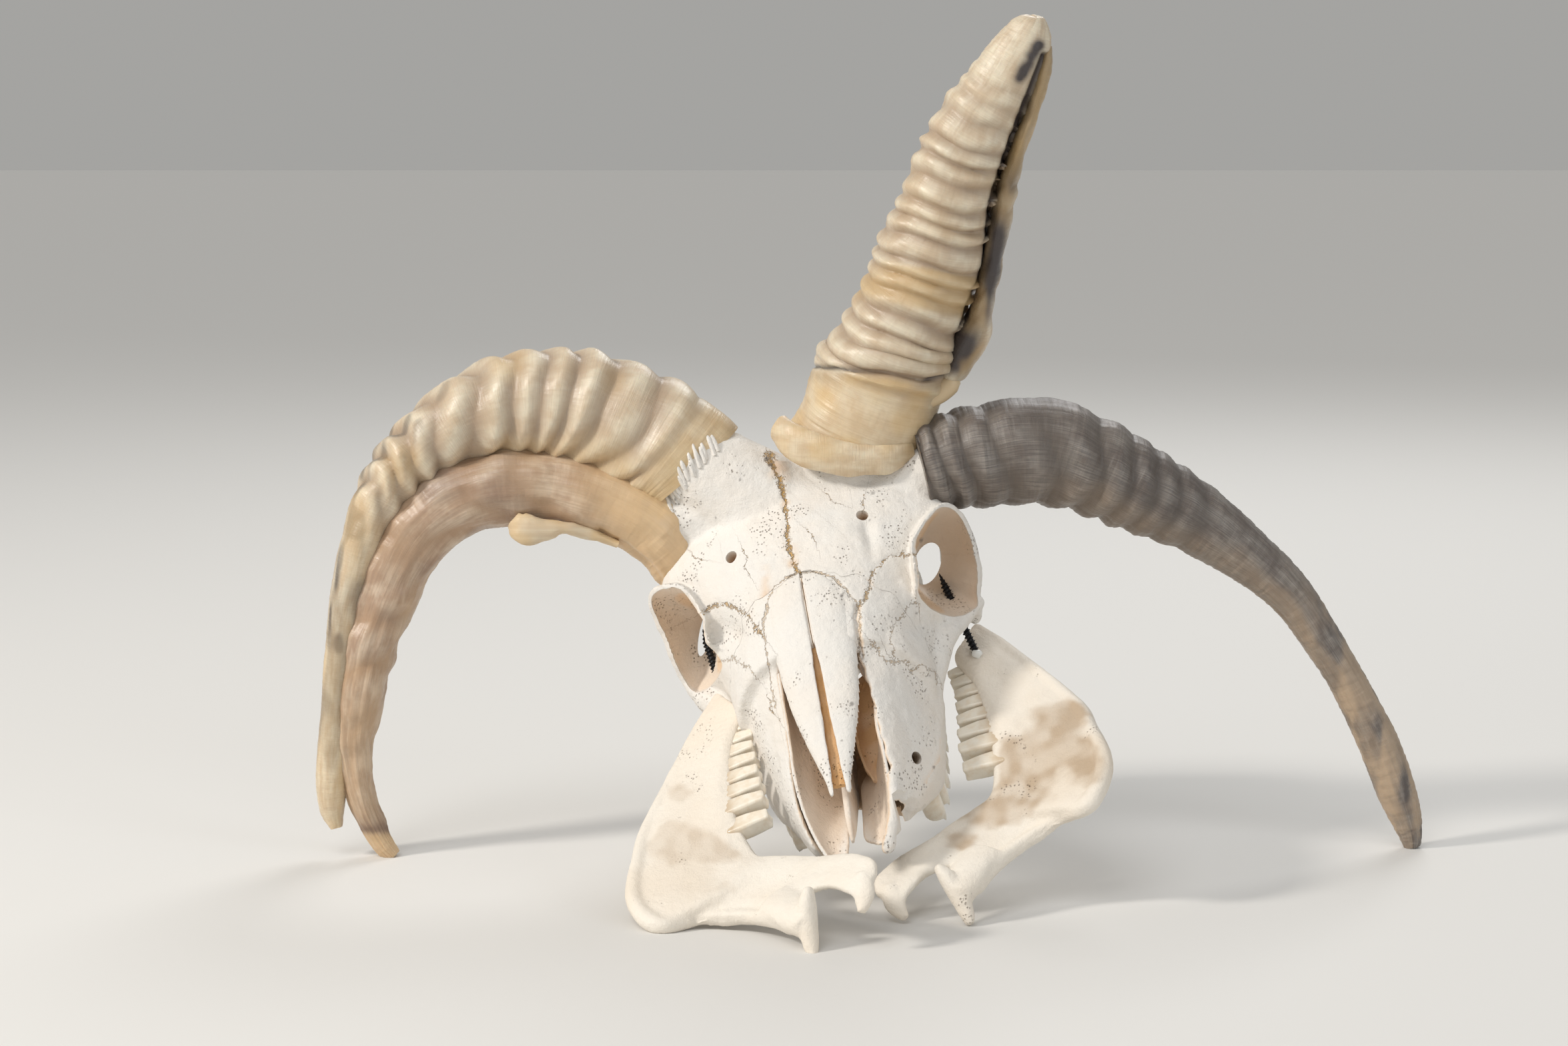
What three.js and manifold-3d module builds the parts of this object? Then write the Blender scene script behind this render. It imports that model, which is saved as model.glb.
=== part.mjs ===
// A ram's skull with three horns, standing on the hinge ends of its two lower
// jaw halves and on the tips of its outer horns.
//
// Millimetres, +Z up, the face towards -Y. "Left" and "right" are the viewer's.
// The skull bones are drawn in the skull's own frame: x to the viewer's right,
// y from the muzzle to the nape, z from the palate to the brow, with the point
// where the nose bones meet the brow as its origin.

import * as THREE from 'three';
import { mergeVertices } from 'three/addons/utils/BufferGeometryUtils.js';
import Module from 'manifold-3d';

const wasm = await Module();
wasm.setup();

// ---------------------------------------------------------------- sizes

const GAP = 0.3; // left between bones that meet
const DEGREE = Math.PI / 180;

const STAND_CENTRE = new THREE.Vector3(38.14, 56.24, 0); // middle of the footprint
const SKULL_PLACE = new THREE.Vector3(6.96, 39.38, 127.58);
const SKULL_TURN = new THREE.Euler(29.74 * DEGREE, -15.4 * DEGREE, -5.99 * DEGREE, 'ZYX');

const LEFT_JAW_PLACE = new THREE.Vector3(-10.81, 1.99, 40.22);
const LEFT_JAW_TURN = new THREE.Euler(-115.89 * DEGREE, 208.78 * DEGREE, -86.12 * DEGREE, 'ZYX');
const RIGHT_JAW_PLACE = new THREE.Vector3(76.88, 37.9, 54.5);
const RIGHT_JAW_TURN = new THREE.Euler(69.64 * DEGREE, 209.78 * DEGREE, -83.91 * DEGREE, 'ZYX');

const ORBIT_RADIUS = 20.5;
const ORBIT_DEPTH = 52;
const ORBIT_CENTRE = new THREE.Vector3(57, 14, -33);
const ORBIT_AXIS = new THREE.Vector3(-0.62, 0.78, 0.02).normalize(); // inwards
const ORBIT_RIM = 3.4; // half thickness of the raised rim
const ORBIT_SHIFT = new THREE.Vector3(-2, 0, 0); // both sockets sit a little to the left

const SCREW_RADIUS = 1.7;
const SCREW_HOLE = 2.2;

const HORN_SIDES = 9;
const RIB_DEPTH = 0.045; // of the horn's half width

// ---------------------------------------------------------------- helpers

const point = (x, y, z) => new THREE.Vector3(x, y, z);
const mirror = (p, side) => point(p.x * side, p.y, p.z);
const lerp = THREE.MathUtils.lerp;

// A merged, outward-facing solid from any closed geometry.
function solid(geometry) {
  const bare = geometry.index ? geometry.toNonIndexed() : geometry.clone();
  bare.deleteAttribute('normal');
  bare.deleteAttribute('uv');
  const merged = mergeVertices(bare, 1e-4);
  const corners = Array.from(merged.index.array);
  const place = merged.attributes.position.array;
  let volume = 0;
  const kept = [];
  for (let t = 0; t < corners.length; t += 3) {
    const [a, b, c] = corners.slice(t, t + 3);
    if (a !== b && b !== c && c !== a) {
      kept.push(a, b, c);
      const pa = point(...place.slice(3 * a, 3 * a + 3));
      const pb = point(...place.slice(3 * b, 3 * b + 3));
      const pc = point(...place.slice(3 * c, 3 * c + 3));
      volume += pa.dot(pb.cross(pc));
    }
  }
  if (volume < 0) kept.reverse();
  return new wasm.Manifold(new wasm.Mesh({
    numProp: 3,
    vertProperties: Float32Array.from(place),
    triVerts: Uint32Array.from(kept),
  }));
}

// A closed geometry through rings of points that all go the same way round.
function loft(rings) {
  const sides = rings[0].length;
  const points = rings.flat();
  const faces = [];
  for (let r = 0; r + 1 < rings.length; r += 1) {
    for (let k = 0; k < sides; k += 1) {
      const a = r * sides + k;
      const b = r * sides + (k + 1) % sides;
      faces.push(a, b, b + sides, a, b + sides, a + sides);
    }
  }
  [[0, 1], [rings.length - 1, -1]].forEach(([r, way]) => {
    const middle = rings[r].reduce((sum, p) => sum.add(p), point(0, 0, 0)).divideScalar(sides);
    points.push(middle);
    for (let k = 0; k < sides; k += 1) {
      const a = r * sides + k;
      const b = r * sides + (k + 1) % sides;
      faces.push(...(way > 0 ? [b, a, points.length - 1] : [a, b, points.length - 1]));
    }
  });
  const geometry = new THREE.BufferGeometry().setFromPoints(points);
  geometry.setIndex(faces);
  return geometry;
}

// A ring of an upright oval round a middle point, across two given directions.
function oval(middle, across, halfAcross, along, halfAlong, sides, square = 1) {
  return Array.from({ length: sides }, (_, k) => {
    const turn = (k / sides) * 2 * Math.PI;
    const c = Math.cos(turn);
    const s = Math.sin(turn);
    return middle.clone()
      .addScaledVector(across, halfAcross * Math.sign(c) * Math.abs(c) ** square)
      .addScaledVector(along, halfAlong * Math.sign(s) * Math.abs(s) ** square);
  });
}

// A round-ended bar through points; each has its own half width and half height.
function bar(stations, sides, across = point(0, 0, 1)) {
  const middles = stations.map(([x, y, z]) => point(x, y, z));
  const curve = new THREE.CatmullRomCurve3(middles, false, 'centripetal');
  return loft(middles.map((middle, i) => {
    const way = curve.getTangent(i / (middles.length - 1));
    const side = across.clone().addScaledVector(way, -across.dot(way)).normalize();
    const other = new THREE.Vector3().crossVectors(way, side).normalize();
    return oval(middle, side, stations[i][3], other, stations[i][4] ?? stations[i][3], sides);
  }));
}

function ball(middle, rx, ry, rz, sides = 12) {
  const geometry = new THREE.SphereGeometry(1, sides, Math.round(sides / 2));
  return solid(geometry.scale(rx, ry, rz).translate(middle.x, middle.y, middle.z));
}

// A cylinder or cone from one point towards another.
function rod(from, to, radiusFrom, radiusTo, sides) {
  const length = from.distanceTo(to);
  const geometry = new THREE.CylinderGeometry(radiusTo, radiusFrom, length, sides);
  const turn = new THREE.Quaternion()
    .setFromUnitVectors(point(0, 1, 0), to.clone().sub(from).normalize());
  geometry.applyQuaternion(turn);
  const middle = from.clone().add(to).multiplyScalar(0.5);
  return solid(geometry.translate(middle.x, middle.y, middle.z));
}

// A large box on the far side of a plane, for trimming.
function halfSpace(onPlane, normal) {
  const reach = 1000;
  const geometry = new THREE.BoxGeometry(reach, reach, reach).translate(0, 0, reach / 2);
  const turn = new THREE.Quaternion().setFromUnitVectors(point(0, 0, 1), normal.clone().normalize());
  geometry.applyQuaternion(turn).translate(onPlane.x, onPlane.y, onPlane.z);
  return solid(geometry);
}

function joined(bodies) {
  return bodies.reduce((sum, body) => sum.add(body));
}

// The main piece, without crumbs that a cut has parted from it.
function largestPiece(body) {
  const pieces = body.decompose();
  return pieces.reduce((best, piece) => (piece.volume() > best.volume() ? piece : best));
}

function moved(body, matrix) {
  return body.transform(matrix.elements);
}

const material = (colour, roughness, metalness = 0) => (
  new THREE.MeshStandardMaterial({ color: colour, roughness, metalness })
);
const BONE = material(0xf1e9dc, 0.6);
const CREAM_HORN = material(0xcdb98f, 0.45);
const GREY_HORN = material(0x6f675f, 0.5);
const BLACK_STEEL = material(0x17181a, 0.35, 0.8);

const ram = new THREE.Group();
ram.position.copy(STAND_CENTRE).negate();

function addNode(name, body, look, place = point(0, 0, 0), turn = new THREE.Euler()) {
  const data = body.getMesh();
  const geometry = new THREE.BufferGeometry();
  geometry.setAttribute('position', new THREE.BufferAttribute(data.vertProperties, 3));
  geometry.setIndex(new THREE.BufferAttribute(data.triVerts, 1));
  const mesh = new THREE.Mesh(geometry, look);
  mesh.name = name;
  mesh.position.copy(place);
  mesh.rotation.copy(turn);
  ram.add(mesh);
}

const skullMatrix = new THREE.Matrix4()
  .makeRotationFromEuler(SKULL_TURN)
  .setPosition(SKULL_PLACE);
const toSkull = skullMatrix.clone().invert();
const CUT = GAP + 0.05; // how far a cutting body stands proud of its piece
const FLOOR = halfSpace(point(0, 0, 0), point(0, 0, -1));
const toJaw = (place, turn) => (
  new THREE.Matrix4().makeRotationFromEuler(turn).setPosition(place).invert()
);

// ---------------------------------------------------------------- nose bones

// Each leaf runs from the brow to its tip: [y, outer half width, height of the
// midline, drop of the outer edge, gap to the midline].
const NASAL_STATIONS = [
  [3, 4, 0.6, 0.4, 0.5],
  [-2, 11, 0.2, 2.4, 0.5],
  [-10, 16, -2.6, 5.6, 0.6],
  [-22, 17, -8.2, 7, 0.8],
  [-36, 16, -15.2, 6.4, 1.1],
  [-50, 14, -21.8, 5.4, 1.4],
  [-62, 11.2, -27.4, 4.4, 1.7],
  [-74, 7.6, -33.4, 3.2, 2],
  [-83, 5, -38, 1.8, 2.3],
  [-89, 4.2, -41, 0.9, 2.8],
];
const NASAL_THICKNESS = 2.4;

const SLOT_DEPTH = 7; // how far a slot for a leaf is open above it

function nasal(side, grow = 0) {
  const lift = grow > 0 ? SLOT_DEPTH : 0;
  return solid(loft(NASAL_STATIONS.map(([y, half, top, drop, inner], i) => {
    const width = half + grow;
    const thick = Math.min(NASAL_THICKNESS, 0.5 + half * 0.3);
    const gap = grow > 0 ? -1 : inner;
    const middle = lerp(gap, width, 0.55);
    const along = y + (i === 0 ? grow : 0);
    return [
      point(gap, along, top + lift),
      point(middle, along, top - drop * 0.18 + lift),
      point(lerp(gap, width, 0.88), along, top - drop * 0.62 + lift),
      point(width, along, top - drop + lift),
      point(width, along, top - drop - thick * 0.5 - grow),
      point(middle, along, top - drop * 0.4 - thick - grow),
      point(gap, along, top - thick * 1.2 - grow),
    ].map((p) => mirror(p, side));
  })));
}

// ---------------------------------------------------------------- brain case and brow

// Cross sections of the brow, orbits and brain case:
// [y, half width, top, height of the widest place, bottom].
const ROOF_STATIONS = [
  [-28, 41, -12, -50, -76],
  [-8, 44, -3, -44, -76],
  [4, 49, 1, -42, -72],
  [14, 58, 3, -38, -68],
  [24, 63, 5, -33, -64],
  [33, 66, 7, -25, -62],
  [42, 64, 8, -20, -60],
  [51, 52, 9, -19, -62],
  [61, 42, 11, -24, -68],
  [76, 39, 6, -33, -76],
  [90, 40, -9, -44, -80],
  [101, 39, -27, -56, -82],
  [111, 30, -46, -66, -84],
  [117, 12, -56, -66, -76],
];
const ROOF_SIDES = 18;

function roofSection([y, plainHalf, plainTop, widest, plainBottom], grow) {
  const half = plainHalf + grow;
  const top = plainTop + grow;
  const bottom = plainBottom - grow;
  return Array.from({ length: ROOF_SIDES }, (_, k) => {
    const turn = (k / ROOF_SIDES) * 2 * Math.PI;
    const c = Math.cos(turn);
    const s = Math.sin(turn);
    const rise = s > 0 ? top - widest : widest - bottom;
    return point(half * Math.sign(c) * Math.abs(c) ** 0.92, y, widest + rise * s);
  });
}

// The middle of the skull's floor, from the palate to the neck joint:
// [y, half width, top, bottom].
const FLOOR_STATIONS = [
  [-10, 20, -50, -77],
  [6, 19, -50, -80],
  [18, 15, -50, -86],
  [34, 13, -50, -88],
  [52, 14, -50, -88],
  [70, 19, -55, -90],
  [88, 22, -60, -92],
  [104, 24, -66, -94],
  [112, 20, -70, -92],
];

function floorSection([y, half, top, bottom]) {
  const middle = point(0, y, (top + bottom) / 2);
  return oval(middle, point(1, 0, 0), half, point(0, 0, 1), (top - bottom) / 2, 8, 0.75);
}

const roof = (grow) => solid(loft(ROOF_STATIONS.map((row) => roofSection(row, grow))));

// Bony cores that carry the horns, as they stand: base, end, half widths there.
const CORES = [
  [point(-6, 97, 146), point(-46, 96, 175), 25, 18],
  [point(-10, 96, 138), point(-54, 92, 146), 17, 10],
  [point(25, 99, 148), point(37, 94, 190), 26, 19],
  [point(36, 90, 152), point(74, 87, 171), 18, 15],
];
const CORE_SIDES = 10;

function hornCore([base, end, baseHalf, endHalf], grow) {
  const way = end.clone().sub(base).normalize();
  return rod(base, end.clone().addScaledVector(way, grow), baseHalf + grow, endHalf + grow,
    CORE_SIDES);
}

function orbitCut(side) {
  const outer = ORBIT_CENTRE.clone().addScaledVector(ORBIT_AXIS, -26);
  const inner = ORBIT_CENTRE.clone().addScaledVector(ORBIT_AXIS, ORBIT_DEPTH - 26);
  return rod(mirror(outer, side).add(ORBIT_SHIFT), mirror(inner, side).add(ORBIT_SHIFT),
    ORBIT_RADIUS + 4, ORBIT_RADIUS - 7, 13);
}

// The raised rim follows the edge of the eye socket.
const RIM_POINTS = [
  [40, -3, -26], [46, 12, -16], [57, 30, -12], [63, 33, -18], [65, 32, -30],
  [64, 28, -45], [60, 22, -56], [52, 8, -58], [43, -3, -50], [38, -7, -38],
].map(([x, y, z]) => point(x, y, z));

function orbitRim(side, grow = 0) {
  const path = new THREE.CatmullRomCurve3(RIM_POINTS.map((p) => mirror(p, side)), true);
  const steps = 13;
  const sides = 4;
  const centre = mirror(ORBIT_CENTRE, side);
  const rings = Array.from({ length: steps }, (_, k) => {
    const middle = path.getPointAt(k / steps);
    const way = path.getTangentAt(k / steps);
    const out = middle.clone().sub(centre).addScaledVector(way, -middle.clone().sub(centre).dot(way));
    out.normalize();
    const other = new THREE.Vector3().crossVectors(way, out);
    return oval(middle.add(ORBIT_SHIFT), out, ORBIT_RIM * 0.8 + grow, other,
      ORBIT_RIM * 1.4 + grow, sides);
  });
  return solid(closedLoop(rings));
}

// A closed geometry through rings whose last one joins the first.
function closedLoop(rings) {
  const sides = rings[0].length;
  const faces = [];
  rings.forEach((_, r) => {
    const next = (r + 1) % rings.length;
    for (let k = 0; k < sides; k += 1) {
      const a = r * sides + k;
      const b = r * sides + (k + 1) % sides;
      const c = next * sides + (k + 1) % sides;
      const d = next * sides + k;
      faces.push(a, b, c, a, c, d);
    }
  });
  const geometry = new THREE.BufferGeometry().setFromPoints(rings.flat());
  geometry.setIndex(faces);
  return geometry;
}

const cheekArch = (side) => solid(bar([
  [60 * side, 20, -57, 6, 5],
  [61 * side, 34, -57, 6, 4],
  [58 * side, 50, -57, 5.5, 3.5],
  [53 * side, 66, -58, 5.5, 3.5],
  [46 * side, 80, -60, 6.5, 4.5],
  [36 * side, 90, -62, 8, 6],
], 6));

const cheekHollow = (side) => ball(point(43 * side, 46, -76), 22, 40, 20, 10);
const earCapsule = (side) => ball(point(22 * side, 76, -92), 9, 13, 10, 7);
const neckJoint = (side) => ball(point(13 * side, 112, -86), 9, 9, 11, 7);
const besideNeck = (side) => rod(
  point(29 * side, 104, -80), point(31 * side, 102, -112), 6.5, 2, 6);
const browHole = (side) => rod(
  point(29.5 * side, 24, 9), point(27 * side, 32, -12), 2.6, 1.6, 8);

// The nasal passage, open in front and at the back of the palate.
const PASSAGE_STATIONS = [
  [-60, 14, -24, -68],
  [-14, 15, -13, -73],
  [4, 14, -16, -79],
  [18, 12, -34, -92],
  [34, 10, -62, -100],
  [42, 9, -80, -108],
];

const cordHole = () => rod(point(0, 126, -80), point(0, 84, -64), 9, 9.5, 10); // blind

const passage = () => solid(loft(PASSAGE_STATIONS.map(([y, half, top, bottom]) => (
  oval(point(0, y, (top + bottom) / 2), point(1, 0, 0), half, point(0, 0, 1),
    (top - bottom) / 2, 8, 0.8)
))));

// The seam between brow and upper jaws leans back towards the brow.
const SEAM_POINT = point(0, -11, -30);
const SEAM_NORMAL = point(0, -1, 0.36).normalize();

// ---------------------------------------------------------------- screws

const THREAD_SIDES = 5;
const THREAD_PITCH = 4.2;
const SCREWS = {
  left: [point(-53.5, 37, -40), point(-49.5, 3, -66.5)],
  right: [point(49.5, 42, -46.5), point(57.5, 13, -74)],
};

function screwBody([head, tip]) {
  const way = tip.clone().sub(head);
  const length = way.length();
  way.normalize();
  const side = new THREE.Vector3().crossVectors(way, point(0, 0, 1)).normalize();
  const other = new THREE.Vector3().crossVectors(way, side);
  const turns = Math.floor(length / THREAD_PITCH);
  const stations = Array.from({ length: turns * 2 + 1 }, (_, k) => {
    const crest = k % 2 === 1;
    const radius = crest ? SCREW_RADIUS : SCREW_RADIUS * 0.66;
    const nearHead = Math.min(1, 0.35 + k * 0.13);
    const middle = head.clone().addScaledVector(way, (k / (turns * 2)) * length);
    return oval(middle, side, radius * nearHead, other, radius * nearHead, THREAD_SIDES);
  });
  return solid(loft(stations));
}

const screwHole = ([head, tip]) => {
  const way = tip.clone().sub(head).normalize();
  return rod(head.clone().addScaledVector(way, -2), tip.clone().addScaledVector(way, 1.5),
    SCREW_HOLE, SCREW_HOLE, 8);
};

// ---------------------------------------------------------------- upper jaws

// [y, top edge, middle of the wall, cheek, tooth edge, inner edge of the
// palate], the edges as [x, z].
const MAXILLA_STATIONS = [
  [4, [19, -14], [36, -26], [46, -50], [36, -74], 0.3],
  [-12, [17.5, -10], [34, -26], [44, -52], [37, -77], 0.3],
  [-28, [17.6, -19], [32, -34], [42, -60], [37, -79], 0.3],
  [-44, [18, -28], [29.5, -42], [38, -62], [34, -80], 0.3],
  [-60, [19, -36.5], [27.5, -50], [32.5, -63], [29, -78], 0.3],
  [-72, [20, -43.5], [25.8, -53.5], [27.4, -64], [24, -74], 4],
  [-84, [19.4, -51.6], [22, -57.6], [22.4, -64], [20, -70.4], 13],
  [-95, [16.5, -59], [17.6, -61.5], [17.4, -64.5], [16, -67], 13.4],
];
const WALL = 2.6; // the thin upper wall
const PALATE = 3; // thickness of the palate shelf

function maxillaSection([y, top, wall, cheek, tooth, inner], side) {
  const shelf = Math.max(tooth[1] + 5, -73);
  const ridge = lerp(inner, tooth[0], 0.5);
  return [
    point(top[0], y, top[1]),
    point(lerp(top[0], wall[0], 0.55), y, lerp(top[1], wall[1], 0.42)),
    point(wall[0], y, wall[1]),
    point(cheek[0], y, cheek[1]),
    point(lerp(cheek[0], tooth[0], 0.7) + 1, y, lerp(cheek[1], tooth[1], 0.72)),
    point(tooth[0], y, tooth[1]),
    point(tooth[0] * 0.72, y, tooth[1] + 0.5),
    point(ridge, y, shelf - PALATE + 0.6),
    point(inner, y, shelf - PALATE + 0.6),
    point(inner, y, shelf + 0.6),
    point(ridge, y, shelf + 0.6),
    point(lerp(ridge, cheek[0], 0.5), y, lerp(cheek[1], shelf, 0.4)),
    point(wall[0] - WALL * 1.6, y, wall[1] - WALL),
    point(top[0] - WALL * 0.7, y, top[1] - WALL),
  ].map((p) => mirror(p, side));
}

// A row of teeth as one closed body: a ring at the middle of each lobe and one in
// the groove before it. Each tooth is [place along the row, length, ...its shape].
function toothRow(teeth, lobeLength, ring) {
  const rings = teeth.flatMap(([at, length, ...shape]) => {
    const lobes = Math.max(1, Math.round(length / lobeLength));
    const step = length / lobes;
    return Array.from({ length: lobes * 2 }, (_, k) => (
      ring(at - length / 2 + (k * step) / 2, k % 2 === 1, shape)));
  });
  const [at, length, ...shape] = teeth[teeth.length - 1];
  return solid(loft([...rings, ring(at + length / 2, false, shape)]));
}

// Six cheek teeth a side, their outer cusps sharp: [y, length, x, height].
const UPPER_TEETH = [
  [-62, 9, 25.5, 8], [-52.5, 9.5, 28, 9], [-42, 10.5, 30.4, 10],
  [-29.5, 13, 32, 11], [-15, 15, 33, 11], [1, 16, 32.6, 10],
];
const UPPER_LOBE = 7.4;
const UPPER_TOOTH_HALF = 4.3;
const UPPER_ROOT = -73;

function upperTeeth(side) {
  return toothRow(UPPER_TEETH, UPPER_LOBE, (y, crest, [x, height]) => {
    const half = UPPER_TOOTH_HALF * (crest ? 1 : 0.74);
    const low = -80 - height * 0.6;
    return [
      point(x + half, y, UPPER_ROOT),
      point(x + half, y, low - (crest ? 2.6 : 0)),
      point(x, y, low + 0.6),
      point(x - half, y, low + (crest ? 0.4 : 2.4)),
      point(x - half, y, UPPER_ROOT),
    ].map((p) => mirror(p, side));
  });
}

// The tooth bed runs on behind the seam, below the cheek.
const BED = { x: 32.4, front: -40, back: 11, top: -71, half: 6.6, deep: 9 };

function toothBed(side, grow = 0) {
  const geometry = new THREE.BoxGeometry(
    2 * (BED.half + grow), BED.back - BED.front + grow, BED.deep + grow);
  return solid(geometry.translate(
    BED.x * side, (BED.back + grow + BED.front) / 2, BED.top - (BED.deep - grow) / 2));
}

function maxilla(side) {
  const shell = solid(loft(MAXILLA_STATIONS.map((station) => maxillaSection(station, side))));
  const front = halfSpace(
    SEAM_POINT.clone().addScaledVector(SEAM_NORMAL, GAP / 2), SEAM_NORMAL);
  const nerveHole = rod(
    point(36 * side, -74, -50), point(24 * side, -58, -60), 2.6, 2, 8);
  return joined([shell.intersect(front), toothBed(side), upperTeeth(side)]).subtract(nerveHole);
}

// ---------------------------------------------------------------- front of the muzzle

// A thin curved plate on each side; its own tip is broken off. Each station:
// [y, outer edge, bend, inner edge], each edge as [x, z].
const PREMAXILLA_STATIONS = [
  [-58, [16.4, -39.5], [14.6, -58], [4, -66]],
  [-70, [16.2, -45], [13.4, -60], [3.2, -66]],
  [-82, [15, -51], [11.6, -61.5], [3, -65.6]],
  [-92, [13.4, -56], [9.8, -62.4], [3.4, -65.4]],
  [-101, [11, -59.6], [8.6, -63.2], [4.8, -65]],
  [-108, [8.6, -62.4], [8, -63.4], [7, -64]],
];
const PREMAXILLA_THICKNESS = 1.8;

function premaxilla(side, grow = 0) {
  return solid(loft(PREMAXILLA_STATIONS.map(([y, outer, bend, inner], i) => {
    const along = y + (i === 0 ? grow : 0);
    return [
      point(outer[0] - grow, along, outer[1] + grow),
      point(bend[0] - grow, along, bend[1] + grow),
      point(inner[0] - grow, along, inner[1] + grow),
      point(inner[0] - grow, along, inner[1] - PREMAXILLA_THICKNESS - grow),
      point(bend[0] + 1 + grow, along, bend[1] - PREMAXILLA_THICKNESS - grow),
      point(outer[0] + PREMAXILLA_THICKNESS + grow, along, outer[1] - 0.6 + grow),
    ].map((p) => mirror(p, side));
  })));
}

// The upright blade along the floor of the nose.
const vomer = () => solid(loft([
  [-30, -46, -72, 1.4], [-58, -48, -72, 1.5], [-72, -49.5, -67, 1.6],
  [-88, -51, -62, 1.5], [-97, -53.5, -58.5, 1.1], [-101, -56, -57.6, 0.7],
].map(([y, top, bottom, half]) => [
  point(-half, y, top), point(half, y, top), point(half, y, bottom), point(-half, y, bottom),
])));

// ---------------------------------------------------------------- horns

// A tapering horn through stations [x, y, z, half width, depth of half width].
// Each rib is a crest and a hollow, so that rings alternate between the two.
function horn(stations, ribs, ribDepth, slant, sides = HORN_SIDES) {
  const depthAxis = point(0, 1, 0);
  const middles = stations.map(([x, y, z]) => point(x, y, z));
  const path = new THREE.CatmullRomCurve3(middles, false, 'centripetal');
  const halves = new THREE.CatmullRomCurve3(
    stations.map((row) => point(row[3], row[4], 0)), false, 'centripetal');
  const steps = ribs * 2;
  const rings = Array.from({ length: steps + 1 }, (_, k) => {
    const t = k / steps;
    const middle = path.getPoint(t);
    const way = path.getTangent(t);
    const half = halves.getPoint(t);
    const depth = depthAxis.clone().addScaledVector(way, -depthAxis.dot(way)).normalize();
    const across = new THREE.Vector3().crossVectors(depth, way).normalize();
    const fade = Math.min(1, (1 - t) * 3);
    const swell = 1 + ribDepth * fade * (k % 2 === 1 ? 1 : -1);
    return oval(middle, across, half.x * swell, depth, half.y * swell, sides)
      .map((p, side) => p.addScaledVector(
        way, slant * half.x * fade * Math.sin((side / sides) * 2 * Math.PI)));
  });
  return solid(loft(rings));
}

const LEFT_MAIN = [
  [-31, 95, 164, 21.5, 19], [-42, 95, 173, 23.5, 20], [-60, 95, 183, 24.8, 20],
  [-84, 95, 192, 24, 20], [-109, 94, 194, 21.8, 19], [-135, 93, 187, 17.6, 18],
  [-157, 92, 171, 13.6, 16.5], [-173, 91, 148, 10.6, 15], [-182, 91, 121, 8.6, 13.5],
  [-187, 91, 94, 7.2, 12], [-190, 91, 66, 6.6, 10], [-192.5, 91, 38, 7, 8],
  [-193, 91, 22, 5.4, 6], [-191, 90, 13, 2.4, 3],
];
const LEFT_SECOND = [
  [-42, 92, 138, 12.4, 14], [-62, 92, 150, 14.6, 16], [-88, 92, 157.6, 16.6, 17],
  [-113, 91, 160, 17, 16], [-136, 90, 155, 16.2, 15], [-155, 90, 139.4, 15.4, 14],
  [-167, 90, 117, 13.8, 13], [-176, 90, 92, 12, 12], [-181, 90, 69, 10.4, 10.5],
  [-183, 91, 45, 8, 8.5], [-179, 92, 22, 5.8, 6.5], [-171.5, 93, 6, 4, 5],
  [-167.5, 93, 0, 2.8, 3.4],
];
const TOP_MAIN = [
  [31.5, 95, 178, 30, 25], [33.4, 93, 185, 28.4, 24], [37, 90, 195, 28.6, 24],
  [43, 86, 211, 27, 23], [48, 81, 226, 23, 21.5], [55, 76, 241, 22.4, 20.5],
  [61, 71, 258, 22.6, 19.5], [66, 65, 276, 19.8, 18], [71, 59, 293, 18.8, 16.5],
  [78, 54, 310, 17.2, 14.5], [87, 50, 325, 14.4, 12], [95, 47, 340, 11.4, 9.5],
  [100, 45, 350, 6.5, 6], [102, 44.5, 355, 2, 2],
];
const TOP_SECOND = [
  [66, 88, 202, 5, 7], [71, 84, 212, 6.6, 9], [79, 78, 228, 6.6, 9.5], [85, 73, 250, 5, 9],
  [88, 66, 269, 5, 8.5], [91, 59, 287, 4.4, 8], [96, 53, 304, 3.4, 7],
  [101, 49, 319, 3, 6], [105, 47, 333, 2.4, 4.5], [106, 46, 342, 1.2, 2.5],
];
const RIGHT_HORN = [
  [57, 84, 168, 18.5, 18], [70, 85, 171, 20, 19], [84, 86, 173, 21.4, 20],
  [108, 88, 175, 22.4, 20.5], [132, 91, 167, 20.2, 19], [154, 94, 156, 17.8, 17],
  [176, 97, 144, 14.8, 14.5], [197, 100, 129, 11.9, 12], [216, 102, 112, 9.6, 10],
  [231, 104, 91, 8.2, 9], [244, 106, 70, 7.8, 8.5], [256, 107, 47, 8.6, 8],
  [265.5, 108, 23, 8.2, 7.2], [271, 109, 7, 5.4, 5], [272, 109, -0.8, 3.4, 3.4],
];

// ---------------------------------------------------------------- lower jaws

// In a jaw half's own frame x runs forward along the tooth row, z up to the
// teeth and y outwards. Cross sections from the cut front end to the neck of
// the hinge: [tooth edge, lower edge], each as [x, y, z], and half thickness.
const JAW_STATIONS = [
  [[58, 2.6, -2], [80, -1, -13.4], 4.2],
  [[51.5, 2.6, -2.4], [70, 0, -18.4], 5.2],
  [[39, 1, -7], [53, -0.5, -27], 5.8],
  [[22, 0.4, -9], [36, 0, -37.4], 6],
  [[-2, -0.6, -9], [9, 1.6, -48.6], 5.6],
  [[-12, -4.4, -7], [-9, 3.4, -52.6], 4.8],
  [[-22.8, -5.2, -3], [-34, 6.4, -55], 3.8],
  [[-27, -5.4, 5], [-55, 6, -45], 3.4],
  [[-32, -5.4, 15], [-51, -3, -28.6], 3.4],
  [[-40, -3, 25], [-54.5, -6, -13], 3.8],
  [[-50, 1.6, 38.8], [-60.4, 0.6, 22], 3.2],
  [[-61, 4.6, 48], [-71, 3.4, 34.6], 2.8],
  [[-68, 4, 48], [-77, 1, 38.4], 2.4],
];

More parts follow.
